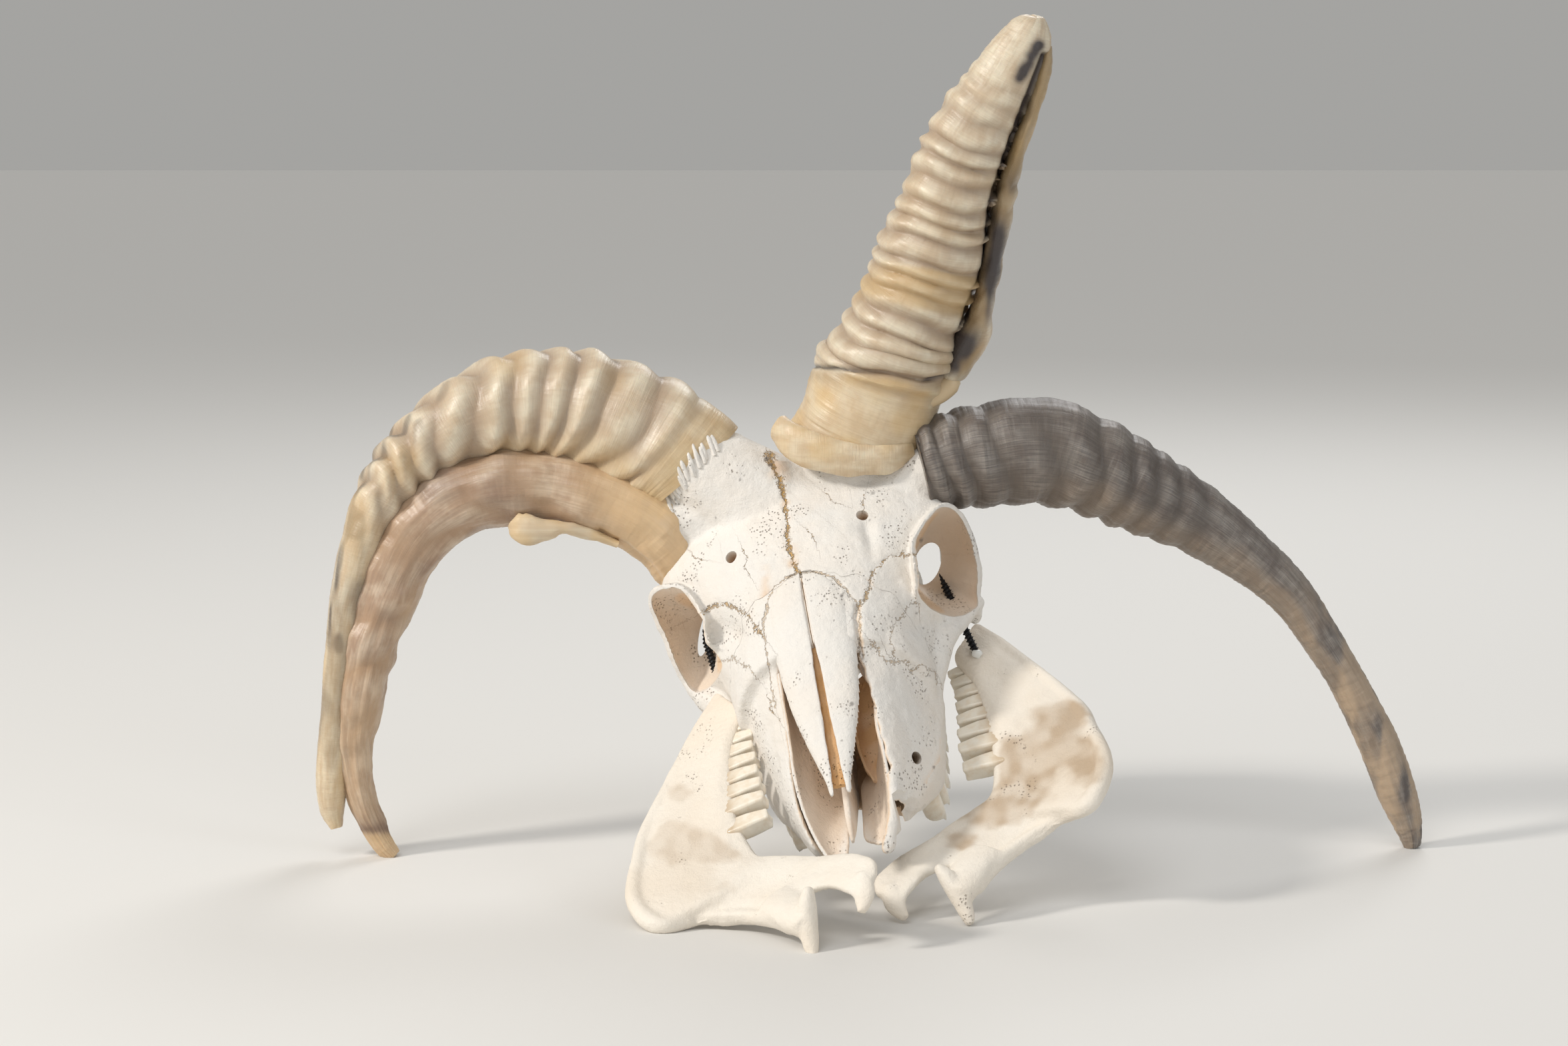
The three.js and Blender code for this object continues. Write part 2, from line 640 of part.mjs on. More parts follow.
const JAW_ROWS = [[0, 0.55], [0.15, 0.96], [0.6, 0.9], [1, 0.5]];

function jawSection([upper, lower, half], grow) {
  const from = point(...upper);
  const to = point(...lower);
  const edge = to.clone().sub(from).normalize();
  from.addScaledVector(edge, -grow);
  to.addScaledVector(edge, grow);
  const down = to.sub(from);
  const wall = (rows, way) => rows.map(([t, width]) => from.clone()
    .addScaledVector(down, t)
    .add(point(0, way * (half * width + grow), 0)));
  return [...wall(JAW_ROWS, 1), ...wall(JAW_ROWS.slice().reverse(), -1)];
}

// The flat of the jaw half; a grown one reaches out past the cut front end too.
function jawPlate(grow = 0) {
  const [front, next, ...rest] = JAW_STATIONS.map((row) => jawSection(row, grow));
  const reach = grow / JAW_STATIONS[0][0].length;
  return solid(loft([
    front.map((p, k) => p.clone().add(p.clone().sub(next[k]).multiplyScalar(reach))),
    next, ...rest,
  ]));
}

// Six lower cheek teeth: [x, length, height of the gum line, crown height]; the
// rear three have two lobes, the last one a third, small one.
const LOWER_TEETH = [
  [-1.6, 18.6, -9, 9.6], [13.6, 11.4, -9.4, 9.6], [24.6, 10.4, -9, 9],
  [34.2, 8.4, -8, 8], [42, 7, -6, 7], [48.6, 6, -3.6, 5.6],
];
const LOWER_LOBE = 6.2;
const LOWER_TOOTH_HALF = 3.4;

function lowerTeeth(grow = 0) {
  return toothRow(LOWER_TEETH, LOWER_LOBE, (x, crest, [gum, height]) => {
    const half = LOWER_TOOTH_HALF * (crest || grow > 0 ? 1 : 0.72) + grow;
    const top = gum + height - (crest || grow > 0 ? 0 : 1.6) + grow;
    const lean = x < 0 ? x * 0.3 : 0.6;
    return [
      point(x, lean - half, gum - 3),
      point(x, lean - half, top - 1),
      point(x, lean, top),
      point(x, lean + half, top - 1),
      point(x, lean + half, gum - 3),
    ];
  });
}

// The rounded lower border, inset from the outline by its own half height.
const JAW_BORDER = [
  [77, -0.4, -12.6, 4, 4.2], [54, -0.4, -25.4, 4.2, 5.8],
  [9.6, 1.6, -45.6, 4.4, 6], [-9, 3.4, -49.8, 4.4, 5.6], [-35, 6.4, -51.8, 4.6, 5.2],
  [-53, 5.6, -42.6, 4.8, 4.8], [-47.6, -2, -29, 3.4, 4.8], [-52.6, -5.6, -12, 3.4, 4.6],
  [-62, -4, 0.4, 3.6, 4.6], [-73, -2.4, 9.6, 3.6, 4.4],
];
const JAW_HINGE = [
  [-54, -3, 4, 9, 4.6], [-64, -1, 10, 8.4, 4.8], [-73, -0.6, 14, 6.6, 5.4],
  [-78, -0.4, 16, 4.4, 5.6],
];
const JAW_HINGE_HEAD = [
  [-65.6, 8, 21.6, 1.6, 3], [-70, 4.4, 19, 3.4, 4.6], [-76, -0.6, 16.6, 4, 4.6],
  [-81.6, -5, 15.4, 3.4, 3.4], [-86.4, -8, 15, 2, 2],
];
const JAW_HOOK_END = [
  [-66, 4.6, 42.6, 3.4, 3], [-74, 2.4, 41.4, 4.4, 2.8], [-80.6, -0.6, 38.6, 2, 2.2],
];

const jawBorder = (grow = 0) => solid(bar(
  JAW_BORDER.map(([x, y, z, high, thick]) => [x, y, z, high + grow, thick + grow]), 6));

function jaw(side) {
  const whole = joined([
    jawPlate(),
    jawBorder(),
    solid(bar(JAW_HINGE, 5)),
    solid(bar(JAW_HINGE_HEAD, 5)),
    solid(bar(JAW_HOOK_END, 5)),
    lowerTeeth(),
  ]);
  return side > 0 ? whole : whole.mirror([0, 1, 0]);
}

// ---------------------------------------------------------------- build

const SIDES = [-1, 1];
const screwHoles = Object.values(SCREWS).map(screwHole);
const cores = (grow) => joined(CORES.map((core) => hornCore(core, grow)));
const rims = (grow) => joined(SIDES.map((side) => orbitRim(side, grow)));
const without = (body, cuts) => cuts.reduce((rest, cut) => rest.subtract(cut), body);

const JAWS = {
  left: [1, LEFT_JAW_PLACE, LEFT_JAW_TURN],
  right: [-1, RIGHT_JAW_PLACE, RIGHT_JAW_TURN],
};

// Room for the jaw halves where they bear on the skull, in the skull's frame.
const jawRooms = Object.values(JAWS).map(([side, place, turn]) => {
  const grown = joined([jawPlate(CUT), lowerTeeth(CUT), jawBorder(CUT)]);
  const room = side > 0 ? grown : grown.mirror([0, 1, 0]);
  return moved(room, toSkull.clone().multiply(toJaw(place, turn).invert()));
});

function buildCranium() {
  const seam = halfSpace(SEAM_POINT.clone().addScaledVector(SEAM_NORMAL, -GAP / 2), SEAM_NORMAL);
  const block = without(roof(0), SIDES.map(cheekHollow));
  const filled = joined([block, solid(loft(FLOOR_STATIONS.map(floorSection))),
    ...SIDES.map(cheekArch), ...SIDES.map(earCapsule), ...SIDES.map(neckJoint),
    ...SIDES.map(besideNeck)]);
  const open = without(filled, SIDES.map(orbitCut));
  const dressed = joined([open, rims(0), moved(cores(0), toSkull)]);
  return largestPiece(without(dressed, [
    passage(), cordHole(), seam, ...SIDES.map(browHole), ...screwHoles, ...jawRooms,
    ...SIDES.map((side) => nasal(side, CUT)), ...SIDES.map((side) => toothBed(side, CUT)),
  ]));
}

addNode('cranium', buildCranium(), BONE, SKULL_PLACE, SKULL_TURN);
addNode('vomer', vomer(), BONE, SKULL_PLACE, SKULL_TURN);

Object.entries({ left: -1, right: 1 }).forEach(([name, side]) => {
  const upper = without(maxilla(side), [premaxilla(side, CUT), ...screwHoles, ...jawRooms]);
  addNode(`nasal_${name}`, nasal(side), BONE, SKULL_PLACE, SKULL_TURN);
  addNode(`maxilla_${name}`, largestPiece(upper), BONE, SKULL_PLACE, SKULL_TURN);
  addNode(`premaxilla_${name}`, premaxilla(side), BONE, SKULL_PLACE, SKULL_TURN);
  addNode(`screw_${name}`, screwBody(SCREWS[name]), BLACK_STEEL, SKULL_PLACE, SKULL_TURN);
});

Object.entries(JAWS).forEach(([name, [side, place, turn]]) => {
  const back = toJaw(place, turn);
  const backFromSkull = back.clone().multiply(skullMatrix);
  const half = without(jaw(side), [
    moved(FLOOR, back), ...screwHoles.map((hole) => moved(hole, backFromSkull))]);
  addNode(`jaw_${name}`, largestPiece(half), BONE, place, turn);
});

// Where the upright horn and the right one meet, each is cut back to one plane.
const HORNS_MEET = point(57, 88, 184);
const HORNS_APART = point(0.9, 0, -0.44).normalize();
const facingPlane = (way) => halfSpace(
  HORNS_MEET.clone().addScaledVector(HORNS_APART, way * -GAP / 2),
  HORNS_APART.clone().multiplyScalar(way));

const seat = [FLOOR, moved(joined([roof(CUT), rims(CUT)]), skullMatrix), cores(CUT)];
const hornNode = (name, lobes, look, cuts = []) => (
  addNode(name, largestPiece(without(joined(lobes), [...seat, ...cuts])), look)
);
hornNode('horn_left', [
  horn(LEFT_MAIN, 16, RIB_DEPTH, 0.1), horn(LEFT_SECOND, 6, 0, 0, 8)], CREAM_HORN);
hornNode('horn_top', [
  horn(TOP_MAIN, 17, RIB_DEPTH, 0.05), horn(TOP_SECOND, 4, 0, 0, 6)], CREAM_HORN,
[facingPlane(1)]);
hornNode('horn_right', [horn(RIGHT_HORN, 11, RIB_DEPTH * 0.7, 0.05)], GREY_HORN,
  [facingPlane(-1)]);

export default ram;
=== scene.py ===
"""A ram's skull with three horns, standing on its parted lower jaws and its horn tips.

Bones and horns are shaped in millimetres in their own frames, set in the pose they
stand in, and left as finished meshes at the origin. "Left" and "right" are the viewer's.
"""
import math

import bpy
import numpy as np
from mathutils import Euler, Matrix, Vector
from mathutils.bvhtree import BVHTree


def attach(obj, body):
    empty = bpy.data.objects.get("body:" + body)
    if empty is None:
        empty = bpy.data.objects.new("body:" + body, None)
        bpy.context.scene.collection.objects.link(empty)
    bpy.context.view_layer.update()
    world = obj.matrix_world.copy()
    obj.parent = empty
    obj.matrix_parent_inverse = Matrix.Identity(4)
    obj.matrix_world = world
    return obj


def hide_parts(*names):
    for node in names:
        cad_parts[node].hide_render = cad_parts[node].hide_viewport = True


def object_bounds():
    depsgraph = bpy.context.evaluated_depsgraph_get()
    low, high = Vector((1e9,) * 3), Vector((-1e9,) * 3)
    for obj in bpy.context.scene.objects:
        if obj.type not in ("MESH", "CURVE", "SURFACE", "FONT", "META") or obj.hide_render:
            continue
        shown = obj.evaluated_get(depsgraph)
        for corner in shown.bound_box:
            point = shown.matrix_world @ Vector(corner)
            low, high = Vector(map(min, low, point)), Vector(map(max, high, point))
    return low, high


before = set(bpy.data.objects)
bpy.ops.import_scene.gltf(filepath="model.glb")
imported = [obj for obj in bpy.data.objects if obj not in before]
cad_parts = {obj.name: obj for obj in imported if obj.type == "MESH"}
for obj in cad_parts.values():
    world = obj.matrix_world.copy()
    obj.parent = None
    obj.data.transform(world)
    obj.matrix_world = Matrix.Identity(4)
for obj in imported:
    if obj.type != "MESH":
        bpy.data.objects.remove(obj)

CAD_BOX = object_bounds()
MM = 0.001
SIDES = {-1: "left", 1: "right"}


# ------------------------------------------------------------------ camera

FRAME_WIDTH, FRAME_HEIGHT = 2351, 1568
STAND_CENTRE = np.array([38.14, 56.24, 0.0])  # middle of the footprint, where the part's origin is
CAMERA_PLACE = np.array([0.0, -1290.3, 313.4]) - STAND_CENTRE
CAMERA_DIP = math.radians(7)
FOCAL_PIXELS = 4940
SENSOR = 36

AHEAD = np.array([0.0, math.cos(CAMERA_DIP), -math.sin(CAMERA_DIP)])
UPWARD = np.array([0.0, math.sin(CAMERA_DIP), math.cos(CAMERA_DIP)])


def picture_place(standing):
    """Columns and rows, in pixels of the full frame, of points given in standing millimetres."""
    away = standing - CAMERA_PLACE
    depth = away @ AHEAD
    column = FRAME_WIDTH / 2 + FOCAL_PIXELS * away[:, 0] / depth
    row = FRAME_HEIGHT / 2 - FOCAL_PIXELS * (away @ UPWARD) / depth
    return column, row


def add_camera():
    lens = bpy.data.cameras.new("camera")
    lens.sensor_width = SENSOR
    lens.lens = FOCAL_PIXELS / FRAME_WIDTH * SENSOR
    lens.clip_end = 20
    camera = bpy.data.objects.new("camera", lens)
    camera.location = CAMERA_PLACE * MM
    camera.rotation_euler = (math.pi / 2 - CAMERA_DIP, 0, 0)
    bpy.context.collection.objects.link(camera)
    bpy.context.scene.camera = camera


add_camera()


# ------------------------------------------------------------------ frames of the bones

def pose(place, turns):
    """A 4 by 4 matrix from a bone's own millimetres to the standing model's."""
    turned = Euler([math.radians(a) for a in turns], "XYZ").to_matrix().to_4x4()
    return np.array(Matrix.Translation(Vector(place) - Vector(STAND_CENTRE)) @ turned)


STANDING = pose((0, 0, 0), (0, 0, 0))
IN_PLACE = np.eye(4)
SKULL = pose((6.96, 39.38, 127.58), (29.74, -15.4, -5.99))
JAW_LEFT = pose((-10.81, 1.99, 40.22), (-115.89, 208.78, -86.12))
JAW_RIGHT = pose((76.88, 37.9, 54.5), (69.64, 209.78, -83.91))


def carried(points, matrix):
    return points @ matrix[:3, :3].T + matrix[:3, 3]


# ------------------------------------------------------------------ shaping helpers

ROD_SIDES = 32


def deselect():
    bpy.ops.object.select_all(action="DESELECT")


def take(obj):
    deselect()
    obj.select_set(True)
    bpy.context.view_layer.objects.active = obj


def spline(rows, count):
    """Rows of numbers resampled along a smooth curve through them."""
    table = np.asarray(rows, float)
    table = np.vstack([2 * table[0] - table[1], table, 2 * table[-1] - table[-2]])
    at = np.linspace(0, len(table) - 3 - 1e-9, count)
    i = at.astype(int)
    f = (at - i)[:, None]
    a, b, c, d = table[i], table[i + 1], table[i + 2], table[i + 3]
    return 0.5 * (2 * b + (c - a) * f + (2 * a - 5 * b + 4 * c - d) * f ** 2
                  + (3 * b - a - 3 * c + d) * f ** 3)


def new_piece(name, points, faces):
    mesh = bpy.data.meshes.new(name)
    mesh.from_pydata((np.asarray(points) * MM).tolist(), [], faces)
    mesh.validate()
    obj = bpy.data.objects.new(name, mesh)
    bpy.context.collection.objects.link(obj)
    return obj


def loft(name, rings):
    """A body through rings of points, capped at both ends."""
    rings = np.asarray(rings, float)
    count, sides = rings.shape[:2]
    faces = []
    for low in range(0, (count - 1) * sides, sides):
        high = low + sides
        for k in range(sides):
            n = (k + 1) % sides
            faces.append((low + k, low + n, high + n, high + k))
    faces.append(tuple(reversed(range(sides))))
    faces.append(tuple(range((count - 1) * sides, count * sides)))
    obj = new_piece(name, rings.reshape(-1, 3), faces)
    outward(obj)
    return obj


def outward(obj):
    take(obj)
    bpy.ops.object.mode_set(mode="EDIT")
    bpy.ops.mesh.select_all(action="SELECT")
    bpy.ops.mesh.normals_make_consistent(inside=False)
    bpy.ops.object.mode_set(mode="OBJECT")


def oval(middle, across, half_across, along, half_along, sides, square=1.0):
    """A ring of points; square below 1 gives it fuller corners."""
    turn = np.arange(sides) / sides * 2 * math.pi
    c, s = np.cos(turn), np.sin(turn)
    c = np.sign(c) * np.abs(c) ** square
    s = np.sign(s) * np.abs(s) ** square
    return middle + np.outer(c * half_across, across) + np.outer(s * half_along, along)


def unit(vector):
    return vector / np.linalg.norm(vector)


def tube(name, stations, count=40, sides=24, across=(0, 0, 1)):
    """A bar through [x, y, z, half width, half height]."""
    rows = spline(stations, count)
    way = np.gradient(rows[:, :3], axis=0)
    rings = []
    for row, step in zip(rows, way):
        step = unit(step)
        side = unit(np.asarray(across, float) - step * np.dot(across, step))
        rings.append(oval(row[:3], side, row[3], np.cross(step, side), row[4], sides))
    return loft(name, rings)


def box(name, middle, size):
    deselect()
    bpy.ops.mesh.primitive_cube_add(size=size * MM, location=Vector(middle) * MM)
    bpy.ops.object.transform_apply(location=True)
    bpy.context.object.name = name
    return bpy.context.object


def ball(name, middle, radii, turns=32):
    deselect()
    bpy.ops.mesh.primitive_uv_sphere_add(segments=turns, ring_count=turns // 2, radius=1)
    obj = bpy.context.object
    obj.name = name
    obj.data.transform(Matrix.Translation(Vector(middle) * MM)
                       @ Matrix.Diagonal(Vector([r * MM for r in radii] + [1])))
    return obj


def rod(name, start, end, radius_start, radius_end):
    """A straight bar, or a cone where its radii differ."""
    start, end = np.asarray(start, float), np.asarray(end, float)
    step = unit(end - start)
    side = unit(np.cross(step, (0.3, 0.1, 1)))
    other = np.cross(step, side)
    return loft(name, [oval(start, side, radius_start, other, radius_start, ROD_SIDES),
                       oval(end, side, radius_end, other, radius_end, ROD_SIDES)])


def applied(obj, kind, **settings):
    take(obj)
    modifier = obj.modifiers.new(kind.title(), kind)
    for key, value in settings.items():
        setattr(modifier, key, value)
    bpy.ops.object.modifier_apply(modifier=modifier.name)


def joined(name, parts):
    deselect()
    for part in parts:
        part.select_set(True)
    bpy.context.view_layer.objects.active = parts[0]
    bpy.ops.object.join()
    parts[0].name = name
    return parts[0]


def reskin(obj, grain_size):
    applied(obj, "REMESH", mode="VOXEL", voxel_size=grain_size * MM, adaptivity=0)


def fused(name, parts, grain_size):
    """One skin round overlapping bodies."""
    whole = joined(name, parts)
    reskin(whole, grain_size)
    return whole


def carve(obj, cutters, operation="DIFFERENCE"):
    for cutter in cutters:
        applied(obj, "BOOLEAN", object=cutter, operation=operation, solver="MANIFOLD")
        bpy.data.objects.remove(cutter)


def soften(obj, times):
    applied(obj, "SMOOTH", factor=0.5, iterations=times)


def copied(obj, name):
    twin = obj.copy()
    twin.data = obj.data.copy()
    twin.name = name
    bpy.context.collection.objects.link(twin)
    return twin


def places(obj):
    """Vertex places in the bone's own millimetres."""
    flat = np.empty(len(obj.data.vertices) * 3)
    obj.data.vertices.foreach_get("co", flat)
    return flat.reshape(-1, 3) / MM


def facings(obj):
    flat = np.empty(len(obj.data.vertices) * 3)
    obj.data.vertices.foreach_get("normal", flat)
    return flat.reshape(-1, 3)


def put(obj, points):
    obj.data.vertices.foreach_set("co", (points * MM).ravel())
    obj.data.update()


def ramp(value, low, high):
    f = np.clip((value - low) / (high - low), 0, 1)
    return f * f * (3 - 2 * f)


HASH = np.array([73856093, 19349663, 83492791])
HASH_MIX = 1274126177
SEED_STEP = 17.37


def grain(points, size, seed=0):
    """Smooth random lumps from -1 to 1, about size millimetres across."""
    q = np.asarray(points) / size + seed * SEED_STEP
    i = np.floor(q).astype(np.int64)
    f = q - i
    f = f * f * (3 - 2 * f)
    total = np.zeros(len(q))
    for dx in (0, 1):
        for dy in (0, 1):
            for dz in (0, 1):
                corner = (i + [dx, dy, dz]) * HASH
                n = corner[:, 0] ^ corner[:, 1] ^ corner[:, 2]
                n = (n ^ (n >> 13)) * HASH_MIX
                value = ((n >> 7) & 0xffff) / 32767.5 - 1
                total += value * np.prod(np.abs(1 - np.array([dx, dy, dz]) - f), axis=1)
    return total


def raised_by(obj, lift):
    """Moves a skin outwards by a length for each of its places."""
    put(obj, places(obj) + facings(obj) * lift[:, None])


def roughen(obj, *layers):
    """Raises a skin by layers of lumps, each given as height, size and seed."""
    p = places(obj)
    raised_by(obj, sum(height * grain(p, size, seed) for height, size, seed in layers))


def lump(points, middle, radii):
    """One at the middle of a soft lump, falling to nought over its radii."""
    return np.exp(-(((points - np.array(middle)) / radii) ** 2).sum(axis=1))


def patch(column, row, x, y, wide, high):
    """A soft patch round a picture place."""
    return lump(np.stack([column, row], axis=1), (x, y), (wide, high))


def stripe(away, width):
    """One on a line and nought beside it, from the distance to the line."""
    return np.exp(-(away / width) ** 2)


def paint(obj, name, values):
    """Keeps a value for each place, from 0 to 1 where it is a share, for the materials to read."""
    layer = obj.data.attributes.new(name, "FLOAT", "POINT")
    layer.data.foreach_set("value", np.asarray(values, np.float32))


def share_out(obj, name, values):
    paint(obj, name, np.clip(values, 0, 1))


def blank(obj, *names):
    for name in names:
        paint(obj, name, np.zeros(len(obj.data.vertices)))


def from_path(columns, rows, path):
    """Signed distance from a line of picture places; beyond its ends the distance is plain."""
    best = np.full(len(columns), 1e6)
    signed = np.full(len(columns), 1e6)
    for (x0, y0), (x1, y1) in zip(path, path[1:]):
        dx, dy = x1 - x0, y1 - y0
        t = np.clip(((columns - x0) * dx + (rows - y0) * dy) / (dx * dx + dy * dy), 0, 1)
        away = np.hypot(columns - x0 - t * dx, rows - y0 - t * dy)
        side = np.sign((columns - x0) * dy - (rows - y0) * dx)
        near = away < best
        best[near] = away[near]
        signed[near] = (away * side)[near]
    return signed


# ------------------------------------------------------------------ surface effects

def effect(name, inputs, outputs):
    group = bpy.data.node_groups.new(name, "ShaderNodeTree")
    for label, kind, value in inputs:
        socket = group.interface.new_socket(label, in_out="INPUT", socket_type=kind)
        socket.default_value = value
    for label, kind in outputs:
        group.interface.new_socket(label, in_out="OUTPUT", socket_type=kind)
    given = group.nodes.new("NodeGroupInput")
    result = group.nodes.new("NodeGroupOutput")
    return group, given, result


class Wiring:
    """Short ways to place and join shader nodes in one tree."""

    def __init__(self, tree):
        self.tree = tree

    def feed(self, socket, value):
        if isinstance(value, bpy.types.NodeSocket):
            self.tree.links.new(value, socket)
        else:
            socket.default_value = value

    def node(self, kind, inputs=None, **settings):
        made = self.tree.nodes.new(kind)
        for key, value in settings.items():
            setattr(made, key, value)
        for key, value in (inputs or {}).items():
            self.feed(made.inputs[key], value)
        return made

    def math(self, operation, a, b=0.0):
        return self.node("ShaderNodeMath", {0: a, 1: b}, operation=operation).outputs[0]

    def band(self, value, low, high, to_low=0.0, to_high=1.0):
        made = self.node("ShaderNodeMapRange", {
            "Value": value, "From Min": low, "From Max": high, "To Min": to_low, "To Max": to_high,
        }, interpolation_type="SMOOTHSTEP")
        return made.outputs["Result"]

    def mix(self, factor, a, b):
        made = self.node("ShaderNodeMix", data_type="RGBA")
        self.feed(made.inputs[0], factor)
        self.feed(made.inputs[6], a)
        self.feed(made.inputs[7], b)
        return made.outputs[2]

    def noise(self, vector, scale, detail=3.0, rough=0.55):
        made = self.node("ShaderNodeTexNoise", {
            "Vector": vector, "Scale": scale, "Detail": detail, "Roughness": rough})
        return made.outputs["Fac"]

    def attribute(self, name):
        return self.node("ShaderNodeAttribute", attribute_name=name).outputs["Fac"]


def colour(red, green, blue):
    return (red, green, blue, 1.0)


def pores_effect():
    """Pits and a chalky grain, for any dry bone."""
    group, given, result = effect("bone pores", [
        ("Vector", "NodeSocketVector", (0, 0, 0)), ("Pit Scale", "NodeSocketFloat", 700.0),
        ("Pit Share", "NodeSocketFloat", 0.3)],
        [("Height", "NodeSocketFloat"), ("Pits", "NodeSocketFloat")])
    w = Wiring(group)
    cells = w.node("ShaderNodeTexVoronoi", {
        "Vector": given.outputs["Vector"], "Scale": given.outputs["Pit Scale"], "Randomness": 1.0})
    pit = w.band(cells.outputs["Distance"], 0.12, 0.3, 1.0, 0.0)
    area = w.noise(given.outputs["Vector"], 60.0, 2.0)
    limit = w.math("SUBTRACT", 1.0, given.outputs["Pit Share"])
    chosen = w.band(area, w.math("MULTIPLY", limit, 0.75), w.math("MULTIPLY", limit, 0.95))
    pits = w.math("MULTIPLY", pit, chosen)
    chalk = w.noise(given.outputs["Vector"], 1400.0, 4.0, 0.65)
    lumps = w.noise(given.outputs["Vector"], 260.0, 4.0, 0.6)
    height = w.math("ADD", w.math("MULTIPLY", chalk, 0.25), w.math("MULTIPLY", lumps, 0.75))
    height = w.math("SUBTRACT", height, w.math("MULTIPLY", pits, 1.1))
    w.feed(result.inputs["Height"], height)
    w.feed(result.inputs["Pits"], pits)
    return group


def seam_effect():
    """The ragged line where two bones meet, from a signed distance in millimetres."""
    group, given, result = effect("bone seam", [
        ("Vector", "NodeSocketVector", (0, 0, 0)), ("Distance", "NodeSocketFloat", 9.0),
        ("Width", "NodeSocketFloat", 0.6), ("Wander", "NodeSocketFloat", 2.2)],
        [("Mask", "NodeSocketFloat")])
    w = Wiring(group)
    coarse = w.math("SUBTRACT", w.noise(given.outputs["Vector"], 330.0, 1.0), 0.5)
    fine = w.math("SUBTRACT", w.noise(given.outputs["Vector"], 1100.0, 1.0), 0.5)
    wander = w.math("ADD", coarse, w.math("MULTIPLY", fine, 0.8))
    wander = w.math("MULTIPLY", wander, given.outputs["Wander"])
    shifted = w.math("ADD", given.outputs["Distance"], wander)
    away = w.math("ABSOLUTE", shifted)
    swelling = w.band(w.noise(given.outputs["Vector"], 170.0, 2.0), 0.3, 0.68, 0.45, 1.9)
    width = w.math("MULTIPLY", given.outputs["Width"], swelling)
    mask = w.band(away, w.math("MULTIPLY", width, 0.25), width, 1.0, 0.0)
    flecks = w.band(w.noise(given.outputs["Vector"], 900.0, 2.0, 0.7), 0.36, 0.55, 0.25, 1.0)
    w.feed(result.inputs["Mask"], w.math("MULTIPLY", mask, flecks))
    return group


def growth_effect():
    """Fine growth lines and long fibres in horn, from its own along and around values."""
    group, given, result = effect("horn growth", [
        ("Along", "NodeSocketFloat", 0.0), ("Around", "NodeSocketFloat", 0.0),
        ("Lines", "NodeSocketFloat", 60.0), ("Fibres", "NodeSocketFloat", 30.0)],
        [("Growth", "NodeSocketFloat"), ("Fibre", "NodeSocketFloat"), ("Blotch", "NodeSocketFloat")])
    w = Wiring(group)

    def stretched(along_scale, around_scale):
        return w.node("ShaderNodeCombineXYZ", {
            0: w.math("MULTIPLY", given.outputs["Along"], along_scale),
            1: w.math("MULTIPLY", given.outputs["Around"], around_scale)}).outputs[0]

    line_place = stretched(given.outputs["Lines"], 1.4)
    fibre_place = stretched(5.0, given.outputs["Fibres"])
    blotch_place = stretched(9.0, 2.2)
    w.feed(result.inputs["Growth"], w.noise(line_place, 1.0, 4.0, 0.6))
    w.feed(result.inputs["Fibre"], w.noise(fibre_place, 1.0, 3.0, 0.6))
    w.feed(result.inputs["Blotch"], w.noise(blotch_place, 1.0, 3.0, 0.55))
    return group


PORES = pores_effect()
SEAM = seam_effect()
GROWTH = growth_effect()


def new_material(name):
    material = bpy.data.materials.new(name)
    material.use_nodes = True
    wiring = Wiring(material.node_tree)
    surface = material.node_tree.nodes["Principled BSDF"]
    return material, wiring, surface


def grouped(wiring, group, inputs):
    made = wiring.node("ShaderNodeGroup", node_tree=group)
    for key, value in inputs.items():
        wiring.feed(made.inputs[key], value)
    return made


def bumped(wiring, surface, height, strength, distance):
    bump = wiring.node("ShaderNodeBump", {"Height": height, "Strength": strength, "Distance": distance})
    wiring.feed(surface.inputs["Normal"], bump.outputs[0])


def bone_material(name, pale, warm, rich, seams=(), pit_share=0.3):
    """Bleached bone: pale outside, warm in its hollows, ochre in its seams and stains. The warm of the
    hollows is partly the tan of inner bone and partly painted glow of light through thin bone.
    """
    material, w, surface = new_material(name)
    spot = w.node("ShaderNodeTexCoord").outputs["Object"]
    pores = grouped(w, PORES, {"Vector": spot, "Pit Share": pit_share})
    cloud = w.band(w.noise(spot, 45.0, 4.0), 0.35, 0.7)
    base = w.mix(w.math("MULTIPLY", cloud, 0.12), pale, warm)
    # Painted glow: the inner share turns the bone warm, partly its own tan and partly light shining through
    # thin walls.
    base = w.mix(w.attribute("inner"), base, warm)
    base = w.mix(w.attribute("stain"), base, rich)
    seam_mask = None
    for attribute, width, wander, strength in seams:
        made = grouped(w, SEAM, {"Vector": spot, "Distance": w.attribute(attribute),
                                 "Width": width, "Wander": wander}).outputs["Mask"]
        made = w.math("MULTIPLY", made, strength)
        seam_mask = made if seam_mask is None else w.math("MAXIMUM", seam_mask, made)
    height = pores.outputs["Height"]
    if seam_mask is not None:
        base = w.mix(w.math("MULTIPLY", seam_mask, 0.9), base, colour(0.58, 0.34, 0.09))
        height = w.math("SUBTRACT", height, w.math("MULTIPLY", seam_mask, 1.3))
    base = w.mix(w.math("MULTIPLY", pores.outputs["Pits"], 0.4), base, colour(0.3, 0.2, 0.12))
    base = w.mix(w.attribute("speck"), base, colour(0.16, 0.14, 0.13))
    w.feed(surface.inputs["Base Color"], base)
    w.feed(surface.inputs["Roughness"], w.band(pores.outputs["Height"], 0.0, 1.0, 0.68, 0.5))
    bumped(w, surface, height, 1.0, 0.0009)
    surface.inputs["Specular IOR Level"].default_value = 0.32
    return material


